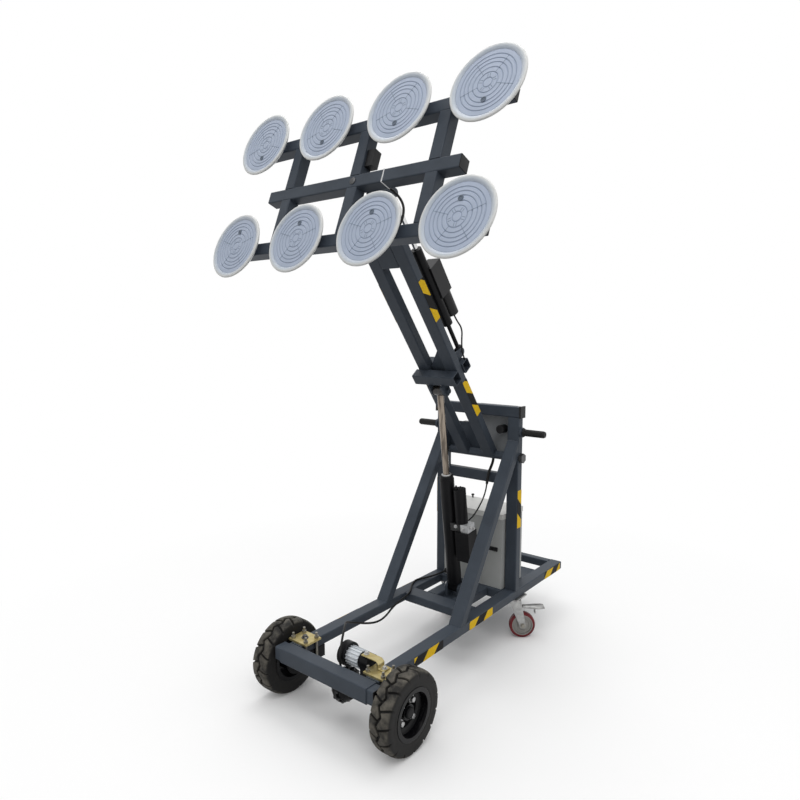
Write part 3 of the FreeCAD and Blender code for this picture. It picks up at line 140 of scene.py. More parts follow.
def spread(tree, value, low, high, start=0.0, end=1.0):
    """The range from start to end, spread from low to high."""
    made = add(tree, "ShaderNodeMapRange")
    for index, number in enumerate((start, end, low, high), start=1):
        made.inputs[index].default_value = number
    tree.links.new(value, made.inputs["Value"])
    return made.outputs["Result"]


def math_node(tree, operation, *values):
    made = add(tree, "ShaderNodeMath", operation=operation)
    for entry, value in zip(made.inputs, values):
        feed(tree, entry, value)
    return made.outputs[0]


def mixed(tree, share, first, second):
    """Two tones, mixed by a share."""
    made = add(tree, "ShaderNodeMix", data_type="RGBA")
    tree.links.new(share, made.inputs[0])
    for entry, value in zip(made.inputs[6:8], (first, second)):
        feed(tree, entry, (*value, 1) if isinstance(value, tuple) else value)
    return made.outputs[2]


def tone_of(tree):
    """The colour that the surface has so far."""
    return tree.nodes["Principled BSDF"].inputs["Base Color"].links[0].from_socket


# Materials
def finish(name, dark, light, rough, metal=0.0, spec=0.5, grain=9.0, fine=600.0, bump=0.05,
           bevel=0.0012, edge_wear_and_highlight=None):
    """Two close tones, uneven roughness, a fine grain, and edges softened and painted lighter, partly as
    worn paint and partly as a painted highlight.
    """
    mat = bpy.data.materials.new(name)
    mat.use_nodes = True
    tree = mat.node_tree
    broad = noise(tree, grain)
    socket(tree, "Base Color", ramp(tree, broad, [(0.3, dark), (0.72, light)]))
    socket(tree, "Roughness", spread(tree, broad, *rough))
    socket(tree, "Metallic", metal)
    socket(tree, "Specular IOR Level", spec)
    relief = add(tree, "ShaderNodeBump", Strength=bump, Distance=0.0006)
    tree.links.new(noise(tree, fine, 2.0), relief.inputs["Height"])
    if bevel:
        edge = add(tree, "ShaderNodeBevel", Radius=bevel, samples=6)
        tree.links.new(edge.outputs["Normal"], relief.inputs["Normal"])
        # Painted highlight and wear: patches along the bevelled edges are painted lighter.
        if edge_wear_and_highlight:
            flat = tree.nodes.new("ShaderNodeNewGeometry").outputs["True Normal"]
            bend = add(tree, "ShaderNodeVectorMath", operation="DOT_PRODUCT")
            tree.links.new(edge.outputs["Normal"], bend.inputs[0])
            tree.links.new(flat, bend.inputs[1])
            worn_and_highlit = spread(tree, bend.outputs["Value"], 0.9, 0.0, 0.86, 0.97)
            patchy = spread(tree, noise(tree, 70.0), 0.0, 1.0, 0.4, 0.65)
            share = math_node(tree, "MULTIPLY", worn_and_highlit, patchy)
            socket(tree, "Base Color", mixed(tree, share, tone_of(tree), edge_wear_and_highlight))
    socket(tree, "Normal", relief.outputs["Normal"])
    return mat


def halved(name, low, high, axis, limit):
    """One finish up to a limit on one of the part's axes, and the other's tones and metal beyond it."""
    mat = finish(name, *low)
    tree = mat.node_tree
    beyond = math_node(tree, "GREATER_THAN", axes(tree)[axis], limit)
    second = ramp(tree, noise(tree, 20.0), [(0.3, high[0]), (0.72, high[1])])
    socket(tree, "Base Color", mixed(tree, beyond, tone_of(tree), second))
    socket(tree, "Metallic", spread(tree, beyond, low[3], high[3]))
    return mat


def rod_metal():
    """Hard chrome with lengthwise dark bands along the leaning rod, painted as reflections, and a black eye.
    """
    eye_start = 1.193
    chrome = ((0.25, 0.21, 0.17), (0.34, 0.29, 0.24), (0.12, 0.22), 1.0)
    black = ((0.006, 0.006, 0.007), (0.011, 0.011, 0.012), (0.4, 0.5), 0.0)
    mat = halved("rod_chrome", chrome, black, "Z", eye_start)
    tree = mat.node_tree
    turned_back = add(tree, "ShaderNodeMapping", Rotation=(-LIFT_LEAN, 0, 0), Scale=(1, 1, 0.01))
    tree.links.new(coords(tree), turned_back.inputs["Vector"])
    # Painted reflection: lengthwise dark bands mixed into the chrome's colour.
    painted_reflection_streaks = add(tree, "ShaderNodeTexNoise", Scale=95.0, Detail=3.0)
    tree.links.new(turned_back.outputs["Vector"], painted_reflection_streaks.inputs["Vector"])
    share = spread(tree, painted_reflection_streaks.outputs["Fac"], 0.0, 0.75, 0.42, 0.6)
    socket(tree, "Base Color", mixed(tree, share, tone_of(tree), (0.055, 0.045, 0.038)))
    return mat


def pump_metal():
    """A black pump block with a cast outer part."""
    cast_start = 0.075
    black = ((0.006, 0.006, 0.007), (0.011, 0.011, 0.012), (0.36, 0.5), 0.0)
    cast = ((0.48, 0.49, 0.50), (0.58, 0.59, 0.60), (0.36, 0.5), 0.6)
    return halved("pump_metal", black, cast, "X", cast_start)


def hazard_tape():
    """Yellow and black bands, slanted along the piece's own length, a black one at its middle."""
    mat = finish("hazard_tape", (0.006, 0.006, 0.006), (0.012, 0.012, 0.012), (0.45, 0.6), spec=0.1,
                 bump=0.02, bevel=0)
    tree = mat.node_tree
    parts = axes(tree)
    along = math_node(tree, "SUBTRACT", parts["X"], parts["Y"])
    share = math_node(tree, "FRACT", math_node(tree, "MULTIPLY_ADD", along, 1 / TAPE_PITCH, 0.25))
    yellow = ramp(tree, noise(tree, 60.0), [(0.3, (0.84, 0.52, 0.015)), (0.7, (0.95, 0.62, 0.025))])
    banded = math_node(tree, "GREATER_THAN", share, 0.5)
    socket(tree, "Base Color", mixed(tree, banded, tone_of(tree), yellow))
    return mat


def dusty_rubber():
    """Tyre rubber with dry dust on the lugs' faces, from the mesh's own dust values."""
    mat = finish("tyre_rubber", (0.008, 0.008, 0.008), (0.016, 0.015, 0.014), (0.55, 0.75), spec=0.25,
                 grain=26.0, fine=240.0, bump=0.3, bevel=0)
    tree = mat.node_tree
    dust = add(tree, "ShaderNodeAttribute", attribute_name="dust").outputs["Fac"]
    patchy = spread(tree, noise(tree, 24.0, 7.0), 0.04, 1.0, 0.40, 0.64)
    share = math_node(tree, "MULTIPLY", dust, patchy)
    socket(tree, "Base Color", mixed(tree, share, tone_of(tree), (0.118, 0.108, 0.090)))
    return mat


def from_axis(tree):
    """The distance from the piece's own Z axis."""
    parts = axes(tree)
    squares = [math_node(tree, "POWER", parts[axis], 2.0) for axis in "XY"]
    return math_node(tree, "POWER", math_node(tree, "ADD", *squares), 0.5)


def ringed_disc():
    """Pale blue cup plate, with painted shade darkening the turned grooves of its face."""
    mat = finish("cup_disc", (0.38, 0.44, 0.55), (0.44, 0.50, 0.62), (0.36, 0.5), spec=0.35, grain=14.0,
                 bevel=0)
    tree = mat.node_tree
    reach, half, groove_shade_depth = 0.12, 0.0029, 0.7
    stops = [(0.0, (0, 0, 0))]
    for ring in CUP_RINGS:
        for shift, tone in ((-half, 0), (0, groove_shade_depth), (half, 0)):
            stops.append(((ring + shift) / reach, (tone,) * 3))
    # Painted shade: the colour darkens at each turned groove.
    groove = ramp(tree, spread(tree, from_axis(tree), 0.0, 1.0, 0.0, reach), stops)
    socket(tree, "Base Color", mixed(tree, groove, tone_of(tree), (0.21, 0.26, 0.35)))
    return mat


def soft_lip():
    """Milky, slightly see-through cup rubber, bluish next to the plate and paler to its rolled edge."""
    mat = finish("cup_rubber", (0.60, 0.65, 0.70), (0.68, 0.72, 0.77), (0.28, 0.42), grain=14.0, bump=0.04,
                 bevel=0)
    tree = mat.node_tree
    root, edge = 0.114, 0.1366
    outward = spread(tree, from_axis(tree), 0.0, 1.0, root, edge)
    tint = ramp(tree, outward, [(0.0, (0.42, 0.48, 0.58)), (0.45, (0.56, 0.61, 0.67)),
                                (0.75, (0.74, 0.75, 0.74)), (1.0, (0.80, 0.79, 0.75))])
    uneven = spread(tree, noise(tree, 14.0), 0.0, 0.4)
    socket(tree, "Base Color", mixed(tree, uneven, tint, tone_of(tree)))
    socket(tree, "Subsurface Weight", 0.5)
    socket(tree, "Subsurface Radius", (0.01, 0.01, 0.01))
    socket(tree, "Transmission Weight", 0.1)
    return mat


# Name: dark tone, light tone, roughness and what differs from the usual finish
FINISHES = {
    # The paints' lighter edge tones are partly wear, partly a painted highlight.
    "frame_paint": ((0.041, 0.051, 0.066), (0.056, 0.069, 0.088), (0.40, 0.54),
                    dict(spec=0.2, bump=0.1, bevel=0.0016, edge_wear_and_highlight=(0.10, 0.115, 0.135))),
    "black_paint": ((0.004, 0.004, 0.005), (0.008, 0.008, 0.009), (0.32, 0.46),
                    dict(spec=0.14, edge_wear_and_highlight=(0.022, 0.022, 0.024))),
    "rim_gloss": ((0.003, 0.003, 0.004), (0.006, 0.006, 0.007), (0.14, 0.24), dict(spec=0.2, bump=0.02)),
    "grey_panel": ((0.20, 0.21, 0.22), (0.25, 0.26, 0.27), (0.38, 0.5), dict(spec=0.35)),
    "light_box": ((0.66, 0.66, 0.64), (0.74, 0.74, 0.72), (0.36, 0.5), dict(spec=0.4)),
    "box_grey": ((0.40, 0.41, 0.40), (0.46, 0.47, 0.46), (0.36, 0.5), dict(spec=0.35)),
    "bright_steel": ((0.62, 0.62, 0.62), (0.72, 0.72, 0.72), (0.12, 0.24), dict(metal=1.0, bump=0.01)),
    "yellow_zinc": ((0.40, 0.31, 0.11), (0.60, 0.52, 0.28), (0.32, 0.48), dict(metal=0.8, grain=30.0)),
    "zinc_steel": ((0.42, 0.42, 0.42), (0.58, 0.58, 0.58), (0.28, 0.46), dict(metal=1.0, grain=40.0)),
    "caster_zinc": ((0.28, 0.28, 0.28), (0.46, 0.46, 0.45), (0.3, 0.5), dict(metal=1.0, grain=60.0)),
    "dull_zinc": ((0.24, 0.23, 0.20), (0.36, 0.34, 0.30), (0.34, 0.5), dict(metal=0.9, grain=40.0)),
    "dark_zinc": ((0.07, 0.07, 0.075), (0.13, 0.13, 0.13), (0.34, 0.5), dict(metal=0.9, grain=40.0)),
    "cast_alloy": ((0.60, 0.63, 0.66), (0.72, 0.75, 0.78), (0.4, 0.55),
                   dict(metal=0.5, grain=30.0, bump=0.15)),
    "black_plastic": ((0.006, 0.006, 0.007), (0.011, 0.011, 0.012), (0.42, 0.58),
                      dict(spec=0.3, bump=0.12)),
    "red_plastic": ((0.45, 0.010, 0.010), (0.53, 0.016, 0.015), (0.24, 0.32), dict(spec=0.4, bump=0.02)),
    "black_rubber": ((0.006, 0.006, 0.006), (0.011, 0.011, 0.011), (0.5, 0.65), dict(spec=0.25, bump=0.12)),
    "red_tread": ((0.12, 0.006, 0.010), (0.17, 0.011, 0.015), (0.32, 0.46), dict(spec=0.35, bump=0.04)),
    "grey_core": ((0.26, 0.25, 0.235), (0.34, 0.33, 0.31), (0.42, 0.55), dict(metal=0.2, bump=0.08)),
    # Painted groove shade: the dark tone of the spoke strips and core ridges.
    "painted_groove_shade": ((0.20, 0.25, 0.33), (0.25, 0.30, 0.38), (0.4, 0.55), dict(spec=0.3, bevel=0)),
    # Painted shade: the port is coloured as a dark hole.
    "painted_port_shade": ((0.10, 0.13, 0.17), (0.14, 0.17, 0.22), (0.4, 0.55), dict(spec=0.3, bevel=0)),
}
MAT = {name: finish(name, *tones, **rest) for name, (*tones, rest) in FINISHES.items()}
MAT.update(tyre_rubber=dusty_rubber(), cup_disc=ringed_disc(), cup_rubber=soft_lip(), tape=hazard_tape(),
           rod_chrome=rod_metal(), pump_metal=pump_metal())

# The record's own slots, and the nodes that look different from them
SLOTS = {entry["node"]: entry["material_slot"] for entry in frame["record"]["subparts"]}
SLOTS.update(left_rim="rim_gloss", right_rim="rim_gloss", brake_plates="black_paint",
             lift_rod="rod_chrome", pump_block="pump_metal", pivot_shaft="dark_zinc",
             control_box="box_grey", u_bolts="dull_zinc")
CASTER_STEEL = ("caster_fork", "caster_pedal", "caster_plates")
SLOTS.update({name: "caster_zinc" for name in NODES if name.endswith(CASTER_STEEL)})
for name, thing in NODES.items():
    thing.data.materials.clear()
    thing.data.materials.append(MAT[SLOTS[name]])


# Building pieces
def piece(name, mesh, material, body, place=None):
    """A mesh as a named piece that rides a body."""
    thing = bpy.data.objects.new(name, mesh)
    SCENE.collection.objects.link(thing)
    if not mesh.materials:
        mesh.materials.append(MAT[material])
    if place is not None:
        thing.matrix_world = place
    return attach(thing, body)


def smooth(mesh, sharp=35):
    mesh.shade_smooth()
    mesh.set_sharp_from_angle(angle=math.radians(sharp))
    return mesh


def from_bmesh(name, build):
    """A mesh from a function that fills a bmesh."""
    mesh = bpy.data.meshes.new(name)
    work = bmesh.new()
    build(work)
    bmesh.ops.recalc_face_normals(work, faces=work.faces)
    work.to_mesh(mesh)
    work.free()
    return smooth(mesh)


def box_mesh(name, across, deep, high, round_edge=0.0, shift=0.0, corner=0.0):
    """A box with rounded edges or upright corners, its middle moved along X by a shift."""
    def build(work):
        place = Matrix.Translation((shift, 0, 0)) @ Matrix.Diagonal((across, deep, high, 1))
        bmesh.ops.create_cube(work, size=1.0, matrix=place)
        if corner:
            upright = [edge for edge in work.edges
                       if abs(edge.verts[0].co.z - edge.verts[1].co.z) > high / 2]
            bmesh.ops.bevel(work, geom=upright, offset=corner, segments=4, affect="EDGES", profile=0.5)
        if round_edge:
            bmesh.ops.bevel(work, geom=list(work.edges), offset=round_edge, segments=3, affect="EDGES",
                            profile=0.6)
    return from_bmesh(name, build)


def bridge(work, rows, around=True):
    """Faces between rows of points: a capped run around them, or an open sheet."""
    for low, high in zip(rows, rows[1:]):
        count = len(low)
        for k in range(count if around else count - 1):
            after = (k + 1) % count
            work.faces.new((low[k], low[after], high[after], high[k]))
    if around:
        for end in (rows[0], rows[-1]):
            work.faces.new(end)


def settle(work):
    """Orders points, edges and faces by place: solidify leaves them in another order each run."""
    slant = Vector((1, 7.3, 53.1))
    work.verts.sort(key=lambda vert: vert.co.dot(slant))
    work.edges.sort(key=lambda edge: (edge.verts[0].co + edge.verts[1].co).dot(slant))
    work.faces.sort(key=lambda face: face.calc_center_median().dot(slant))


def strip_mesh(name, path, across, thick):
    """A bent flat strip: a path of X and Z points, thickened and widened along Y."""
    spots = [Vector((x, 0, z)) for x, z in path]
    ways = [(b - a).normalized() for a, b in zip(spots, spots[1:])]

    def build(work):
        rows = []
        for index, spot in enumerate(spots):
            before, after = ways[max(index - 1, 0)], ways[min(index, len(ways) - 1)]
            middle = (before + after).normalized()
            out = Vector((-middle.z, 0, middle.x)) * (thick / 2 / middle.dot(before))
            rows.append([work.verts.new(spot + side * out + Vector((0, across / 2 * edge, 0)))
                         for side, edge in ((1, -1), (1, 1), (-1, 1), (-1, -1))])
        bridge(work, rows)
        bmesh.ops.bevel(work, geom=list(work.edges), offset=thick * 0.2, segments=2, affect="EDGES")
    return from_bmesh(name, build)


def turned(work, profile, steps, closed=False):
    """Adds a turned skin about Z from points of radius and height."""
    rings = []
    for radius, height in profile:
        count = steps if radius else 1
        turns = [2 * math.pi * k / steps for k in range(count)]
        rings.append([work.verts.new((radius * math.cos(a), radius * math.sin(a), height)) for a in turns])
    for low, high in zip(rings, rings[1:] + rings[:1] if closed else rings[1:]):
        for k in range(steps):
            corners = (low[k % len(low)], low[(k + 1) % len(low)],
                       high[(k + 1) % len(high)], high[k % len(high)])
            unique = list(dict.fromkeys(corners))
            if len(unique) > 2:
                work.faces.new(unique)


def lathe_mesh(name, profile, steps=48, closed=False):
    return from_bmesh(name, lambda work: turned(work, profile, steps, closed))


def bolt_mesh(name, across, high, washer=1.45):
    """A hexagon head with a chamfered top on a thin washer, its seat at Z 0."""
    radius = across / math.sqrt(3)
    thin = high * 0.22

    def build(work):
        turned(work, [(0, 0), (radius * washer, 0), (radius * washer, thin), (0, thin)], 20)
        turned(work, [(0, thin), (radius, thin), (radius, high * 0.86), (radius * 0.86, high), (0, high)], 6)
    return from_bmesh(name, build)


def facing(spot, normal, along=None):
    """A place whose Z points along the normal."""
    z = Vector(normal).normalized()
    x = Vector(along) if along else (Vector((0, 0, 1)) if abs(z.z) < 0.9 else Vector((1, 0, 0)))
    x = (x - z * x.dot(z)).normalized()
    return Matrix.Translation(spot) @ Matrix((x, z.cross(x), z)).transposed().to_4x4()


def lead(name, points, radius, material):
    """A smooth lead: one spline with the points as its control points."""
    line = bpy.data.curves.new(name, "CURVE")
    line.dimensions = "3D"
    line.bevel_depth = radius
    line.bevel_resolution = 4
    line.use_fill_caps = True
    run = line.splines.new("NURBS")
    run.points.add(len(points) - 1)
    for spot, point in zip(points, run.points):
        point.co = (*spot, 1)
    run.order_u = 3
    run.use_endpoint_u = True
    line.materials.append(MAT[material])
    thing = bpy.data.objects.new(name, line)
    SCENE.collection.objects.link(thing)
    return thing


def line_of(thing):
    """The points of a lead's own line."""
    thick, thing.data.bevel_depth = thing.data.bevel_depth, 0
    bpy.context.view_layer.update()
    mesh = bpy.data.meshes.new_from_object(thing)
    spots = [v.co.copy() for v in mesh.vertices]
    bpy.data.meshes.remove(mesh)
    thing.data.bevel_depth = thick
    bpy.context.view_layer.update()
    return spots


# Drive wheels
def tyre_mesh():
    """Two rows of chunky staggered lugs with a zigzag groove between them, over a rounded carcass."""
    outer, lugs, steps = 0.150, 15, 720
    tread_half, crown_drop = 0.037, 0.0045
    zigzag, lug_slant, stagger = 0.0085, 6.0, 0.25
    groove_half, groove_wall, groove_deep = 0.0030, 0.0016, 0.0095
    lugs_start, lugs_full, dust_start, dust_full = 0.128, 0.140, 0.140, 0.145
    wall = [(0.0405, 0.1440), (0.0430, 0.1385), (0.0440, 0.1310), (0.0437, 0.1180), (0.0430, 0.1080),
            (0.0438, 0.1040), (0.0438, 0.1010), (0.0425, 0.0960), (0.0400, 0.0885), (0.0360, 0.0862)]
    angle = np.linspace(0, 2 * math.pi, steps, endpoint=False)
    tread = np.linspace(-tread_half, tread_half, 53)
    across = np.concatenate([[-w for w, r in reversed(wall)], tread, [w for w, r in wall]])
    crown = outer - crown_drop * (tread / tread_half) ** 4
    radius = np.concatenate([[r for w, r in reversed(wall)], crown, [r for w, r in wall]])
    turn, side = np.meshgrid(angle, across, indexing="ij")
    base = np.tile(radius, (steps, 1))
    pitch = 2 * math.pi / lugs
    phase = turn / pitch
    offset = side - zigzag * (4 * np.abs((phase % 1) - 0.5) - 1)
    slant = phase + np.abs(side) * lug_slant + np.where(offset > 0, -stagger, stagger)
    lateral = np.abs((slant % 1) - 0.5) * pitch * outer
    nearest = np.minimum(np.abs(offset) * 0.82, lateral)
    grooved = 1 - np.clip((nearest - groove_half) / groove_wall, 0, 1)
    shoulder = np.clip((base - lugs_start) / (lugs_full - lugs_start), 0, 1)
    reach = base - groove_deep * grooved * shoulder
    faces_out = np.clip((base - dust_start) / (dust_full - dust_start), 0, 1)
    dust = (1 - np.clip(grooved * 1.6, 0, 1)) * faces_out
    spots = np.stack([reach * np.cos(turn), reach * np.sin(turn), side], axis=-1).reshape(-1, 3)
    columns = len(across)
    rows = np.arange(steps)[:, None] * columns
    after = np.roll(rows, -1)
    cols = np.arange(columns)[None, :]
    beside = np.roll(cols, -1)
    faces = np.stack([rows + cols, after + cols, after + beside, rows + beside], axis=-1).reshape(-1, 4)
    mesh = bpy.data.meshes.new("lugged_tyre")
    mesh.from_pydata(spots.tolist(), [], faces.tolist())
    mesh.attributes.new("dust", "FLOAT", "POINT").data.foreach_set("value", dust.ravel())
    mesh.update()
    return smooth(mesh, 40)


def drive_wheels():
    tyre_form = tyre_mesh()
    nut = bolt_mesh("wheel_nut", 0.019, 0.014, 1.25)
    cap = lathe_mesh("hub_cap", [(0, 0), (0.021, 0), (0.021, 0.005), (0.017, 0.009), (0, 0.011)], 32)
    track_half, nut_circle, nut_seat, cap_seat = 0.310, 0.044, 0.0042, 0.0201
    for side, way in SIDES:
        centre = AXLE + Vector((track_half * way, 0, 0))
        out = (way, 0, 0)
        body = f"{side}_wheel"
        tyre = piece(f"{side}_tyre_look", tyre_form, "tyre_rubber", body, facing(centre, out))
        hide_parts(f"{side}_tyre")
        for k in range(4):
            angle = math.radians(45 + 90 * k)
            around = Vector((0, nut_circle * math.cos(angle), nut_circle * math.sin(angle)))
            spot = centre + Vector((nut_seat * way, 0, 0)) + around
            piece(f"{side}_wheel_nut_{k}", nut, "zinc_steel", body, facing(spot, out))
        spot = centre + Vector((cap_seat * way, 0, 0))
        piece(f"{side}_hub_cap", cap, "black_paint", body, facing(spot, out))


# Drive axle
def axle_details():
    """The differential's ring of bolts, the left clamp plate's bolt and the bent strap to the right one."""
    bolt = bolt_mesh("ring_bolt", 0.010, 0.007, 1.3)
    differential = Vector((0.018, -0.64, 0.135))
    count, circle, flange_half, strap_y = 12, 0.0610, 0.008, -0.634
    for k in range(count):
        angle = 2 * math.pi * k / count
        for side, way in SIDES:
            around = Vector((flange_half * way, circle * math.cos(angle), circle * math.sin(angle)))
            spot = facing(differential + around, (way, 0, 0))
            piece(f"ring_bolt_{k}_{side}", bolt, "dark_zinc", "chassis", spot)
    strap = strip_mesh("motor_strap", [(0.104, 0.2855), (0.178, 0.2855), (0.188, 0.276), (0.188, 0.262),
                                       (0.192, 0.2585), (0.216, 0.2585)], 0.034, 0.004)
    piece("motor_strap", strap, "yellow_zinc", "chassis", Matrix.Translation((0, strap_y, 0)))
    head = bolt_mesh("plate_bolt", 0.017, 0.011)
    piece("plate_bolt", head, "dark_zinc", "chassis", Matrix.Translation((-0.2, AXLE.y, 0.256)))
    head = bolt_mesh("strap_bolt", 0.013, 0.009)
    for k, (x, z) in enumerate(((0.117, 0.2876), (0.204, 0.2606))):
        piece(f"strap_bolt_{k}", head, "zinc_steel", "chassis", Matrix.Translation((x, strap_y, z)))


# Casters
def pedal_cover_mesh():
    """A stamped sheet over the pedal's arm, crowned, with its sides turned down."""
    height, crown, sheet = 0.1525, 0.0045, 0.0015
    halves = ((0.043, 0.0135), (0.060, 0.0150), (0.085, 0.0200), (0.105, 0.0235), (0.130, 0.0235),
              (0.142, 0.0190))

    def build(work):
        rows = []
        for y, half in halves:
            top = [(half * u, 0.0024 + crown * (1 - u * u)) for u in (-0.9, -0.6, -0.3, 0.0, 0.3, 0.6, 0.9)]
            section = [(-half, -0.0060), (-half, 0.0020), *top, (half, 0.0020), (half, -0.0060)]
            rows.append([work.verts.new((x, y, height + z)) for x, z in section])
        bridge(work, rows, around=False)
        bmesh.ops.recalc_face_normals(work, faces=work.faces)
        bmesh.ops.solidify(work, geom=list(work.faces), thickness=sheet)
        settle(work)
    return from_bmesh("pedal_cover", build)


def caster_details():
    """Axle bolts on the forks, ringed covers in the wheels' recesses and stamped covers on the pedals."""
    pedal = pedal_cover_mesh()
    bolt = bolt_mesh("caster_bolt", 0.017, 0.008, 1.25)
    cover = lathe_mesh("hub_cover", [
        (0.0445, 0.0052), (0.0445, 0.0105), (0.0400, 0.0125), (0.0340, 0.0125), (0.0320, 0.0095),
        (0.0240, 0.0095), (0.0220, 0.0140), (0.0143, 0.0140), (0.0143, 0.0052)], 48, True)
    king_x, king_y, trail, radius, fork_half = 0.2, 0.34, 0.04, 0.0625, 0.023
    for side, way in SIDES:
        swivel = Matrix.Translation((king_x * way, king_y, 0)) @ Matrix.Rotation(-CASTER_TURN, 4, "Z")
        centre = swivel @ Vector((0, trail, radius))
        axis = swivel.to_3x3() @ Vector((1, 0, 0))
        piece(f"{side}_pedal_cover", pedal, "caster_zinc", f"{side}_pedal", swivel)
        for out, end in ((axis, "outer"), (-axis, "inner")):
            seat = facing(centre + out * fork_half, out)
            piece(f"{side}_caster_bolt_{end}", bolt, "dull_zinc", f"{side}_caster", seat)
            piece(f"{side}_hub_cover_{end}", cover, "grey_core", f"{side}_caster_wheel", facing(centre, out))


# Suction frame
def cup_disc_mesh():
    """A turned plate on its stem, with a groove at each ring."""
    stem, rim, chamfer, deep, top, foot = 0.026, 0.1155, 0.001, 0.0017, 0.0026, 0.0010
    profile = [(0, 0), (stem, 0), (stem, DISC_BACK), (rim, DISC_BACK), (rim, DISC_FACE - chamfer),
               (rim - chamfer, DISC_FACE)]
    for ring in reversed(CUP_RINGS):
        profile += [(ring + top, DISC_FACE), (ring + foot, DISC_FACE - deep),
                    (ring - foot, DISC_FACE - deep), (ring - top, DISC_FACE)]
    return lathe_mesh("ringed_disc", profile + [(0, DISC_FACE)], 96)


def cup_lip_mesh():
    """A flared lip whose edge rolls back."""
    return lathe_mesh("soft_lip", [
        (0.1158, 0.0290), (0.1172, 0.0262), (0.1200, 0.0262), (0.1255, 0.0300), (0.1310, 0.0345),
        (0.1345, 0.0378), (0.1362, 0.0400), (0.1366, 0.0418), (0.1360, 0.0437), (0.1342, 0.0452),
        (0.1318, 0.0459), (0.1290, 0.0460), (0.1255, 0.0457), (0.1222, 0.0448), (0.1190, 0.0430),
        (0.1158, 0.0410)], 96, True)


def spin(degrees):
    return Matrix.Rotation(math.radians(degrees), 4, "Z")


def cup_core_mesh():
    """Five pairs of short ridges inside a cup's inner ring."""
    ridge = Matrix.Diagonal((0.0125, 0.0022, 0.0012, 1))
    middle, apart = 0.0255, 0.0042

    def build(work):
        for k in range(5):
            for side in (-apart, apart):
                place = spin(72 * k) @ Matrix.Translation((middle, side, 0))
                bmesh.ops.create_cube(work, size=1.0, matrix=place @ ridge)
        bmesh.ops.bevel(work, geom=list(work.edges), offset=0.0003, segments=2, affect="EDGES")
    return from_bmesh("disc_core", build)


def suction_cups():
    """Plates with lips, four spokes, ridges, a port in place of the fifth spoke and a fitting behind it."""
    disc_form, lip_form, core_form = cup_disc_mesh(), cup_lip_mesh(), cup_core_mesh()
    inner, outer = CUP_RINGS[1], CUP_RINGS[-1]
    port_place = 0.061
    line_form = box_mesh("disc_line", outer - inner, 0.0020, 0.0012, 0.0003)
    port = lathe_mesh("port_ring", [(0, 0), (0.0100, 0), (0.0100, 0.0012), (0.0092, 0.0016),
                                    (0.0062, 0.0016), (0.0055, 0.0004), (0, 0.0004)], 24)
    fitting = lathe_mesh("cup_fitting", [(0, 0), (0.009, 0), (0.009, 0.012), (0.006, 0.014),
                                         (0.006, 0.024), (0, 0.024)], 20)
    on_spoke = Matrix.Translation(((inner + outer) / 2, 0, RIDGE_SEAT))
    on_face = Matrix.Translation((0, 0, DISC_FACE))
    behind = Matrix.Translation((0, 0, DISC_BACK)) @ Matrix.Rotation(math.pi, 4, "X")
    for index, (x, z) in enumerate(CUPS):
        base = HEAD @ Matrix.Translation((x, -FRAME_TUBE_HALF, z)) @ FORWARD
        disc = piece(f"cup_disc_{index}", disc_form, "cup_disc", "suction_frame", base)
        lip = piece(f"cup_lip_{index}", lip_form, "cup_rubber", "suction_frame", base)
        if index == 0:
            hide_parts("cup_plates")
            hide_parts("cup_lips")
        way = -1 if z > 0 else 1
        # Spoke strips and core ridges: dark pieces in painted groove shade.
        for k in range(4):
            spoke = base @ spin(90 * way + 72 * (k + 1)) @ on_spoke
            piece(f"cup_line_{index}_{k}", line_form, "painted_groove_shade", "suction_frame", spoke)
        middle = base @ spin(90 * way + 36) @ Matrix.Translation((0, 0, RIDGE_SEAT))
        piece(f"cup_core_{index}", core_form, "painted_groove_shade", "suction_frame", middle)
        seat = base @ Matrix.Translation((0, way * port_place, 0))
        # The port ring is painted as a shaded hole.
        piece(f"cup_port_{index}", port, "painted_port_shade", "suction_frame", seat @ on_face)
        piece(f"cup_fitting_{index}", fitting, "dark_zinc", "suction_frame", seat @ behind)


def frame_details():
    """End plugs in the lateral tubes, a strap on the main tube and the bolt at its crossing."""
    plug = box_mesh("tube_plug", 0.004, 0.047, 0.047, 0.0015)
    main_half, row_half, proud = 0.462, 0.595, 0.0005
    for row, (half, rise) in enumerate(((main_half, 0), (row_half, CUP_ROW), (row_half, -CUP_ROW))):
        for side, way in SIDES:
            piece(f"tube_plug_{row}_{side}", plug, "black_plastic", "suction_frame",
                  HEAD @ Matrix.Translation((way * (half + proud), 0, rise)))
    band = box_mesh("main_strap", 0.006, 0.0514, 0.0514, 0.002)
    piece("main_strap", band, "zinc_steel", "suction_frame", HEAD @ Matrix.Translation((0.141, 0, 0)))
    boss = lathe_mesh("crossing_bolt", [(0, 0), (0.013, 0), (0.013, 0.0025), (0.0105, 0.004),
                                        (0.008, 0.0075), (0, 0.0085)], 28)
    piece("crossing_bolt", boss, "dark_zinc", "suction_frame",
          HEAD @ Matrix.Translation((0, -FRAME_TUBE_HALF, 0)) @ FORWARD)


# Hazard tape
def tape(name, length, spot, normal, along, body, phase=0.0):
    """A strip of tape on a face; the phase moves its bands along it."""
    width, thick, rise, corner = 0.036, 0.0005, 0.00045, 0.003
    mesh = box_mesh(name, length, width, thick, shift=phase, corner=corner)
    seat = facing(Vector(spot) + Vector(normal).normalized() * rise, normal, along)
    piece(name, mesh, "tape", body, seat @ Matrix.Translation((-phase, 0, 0)))


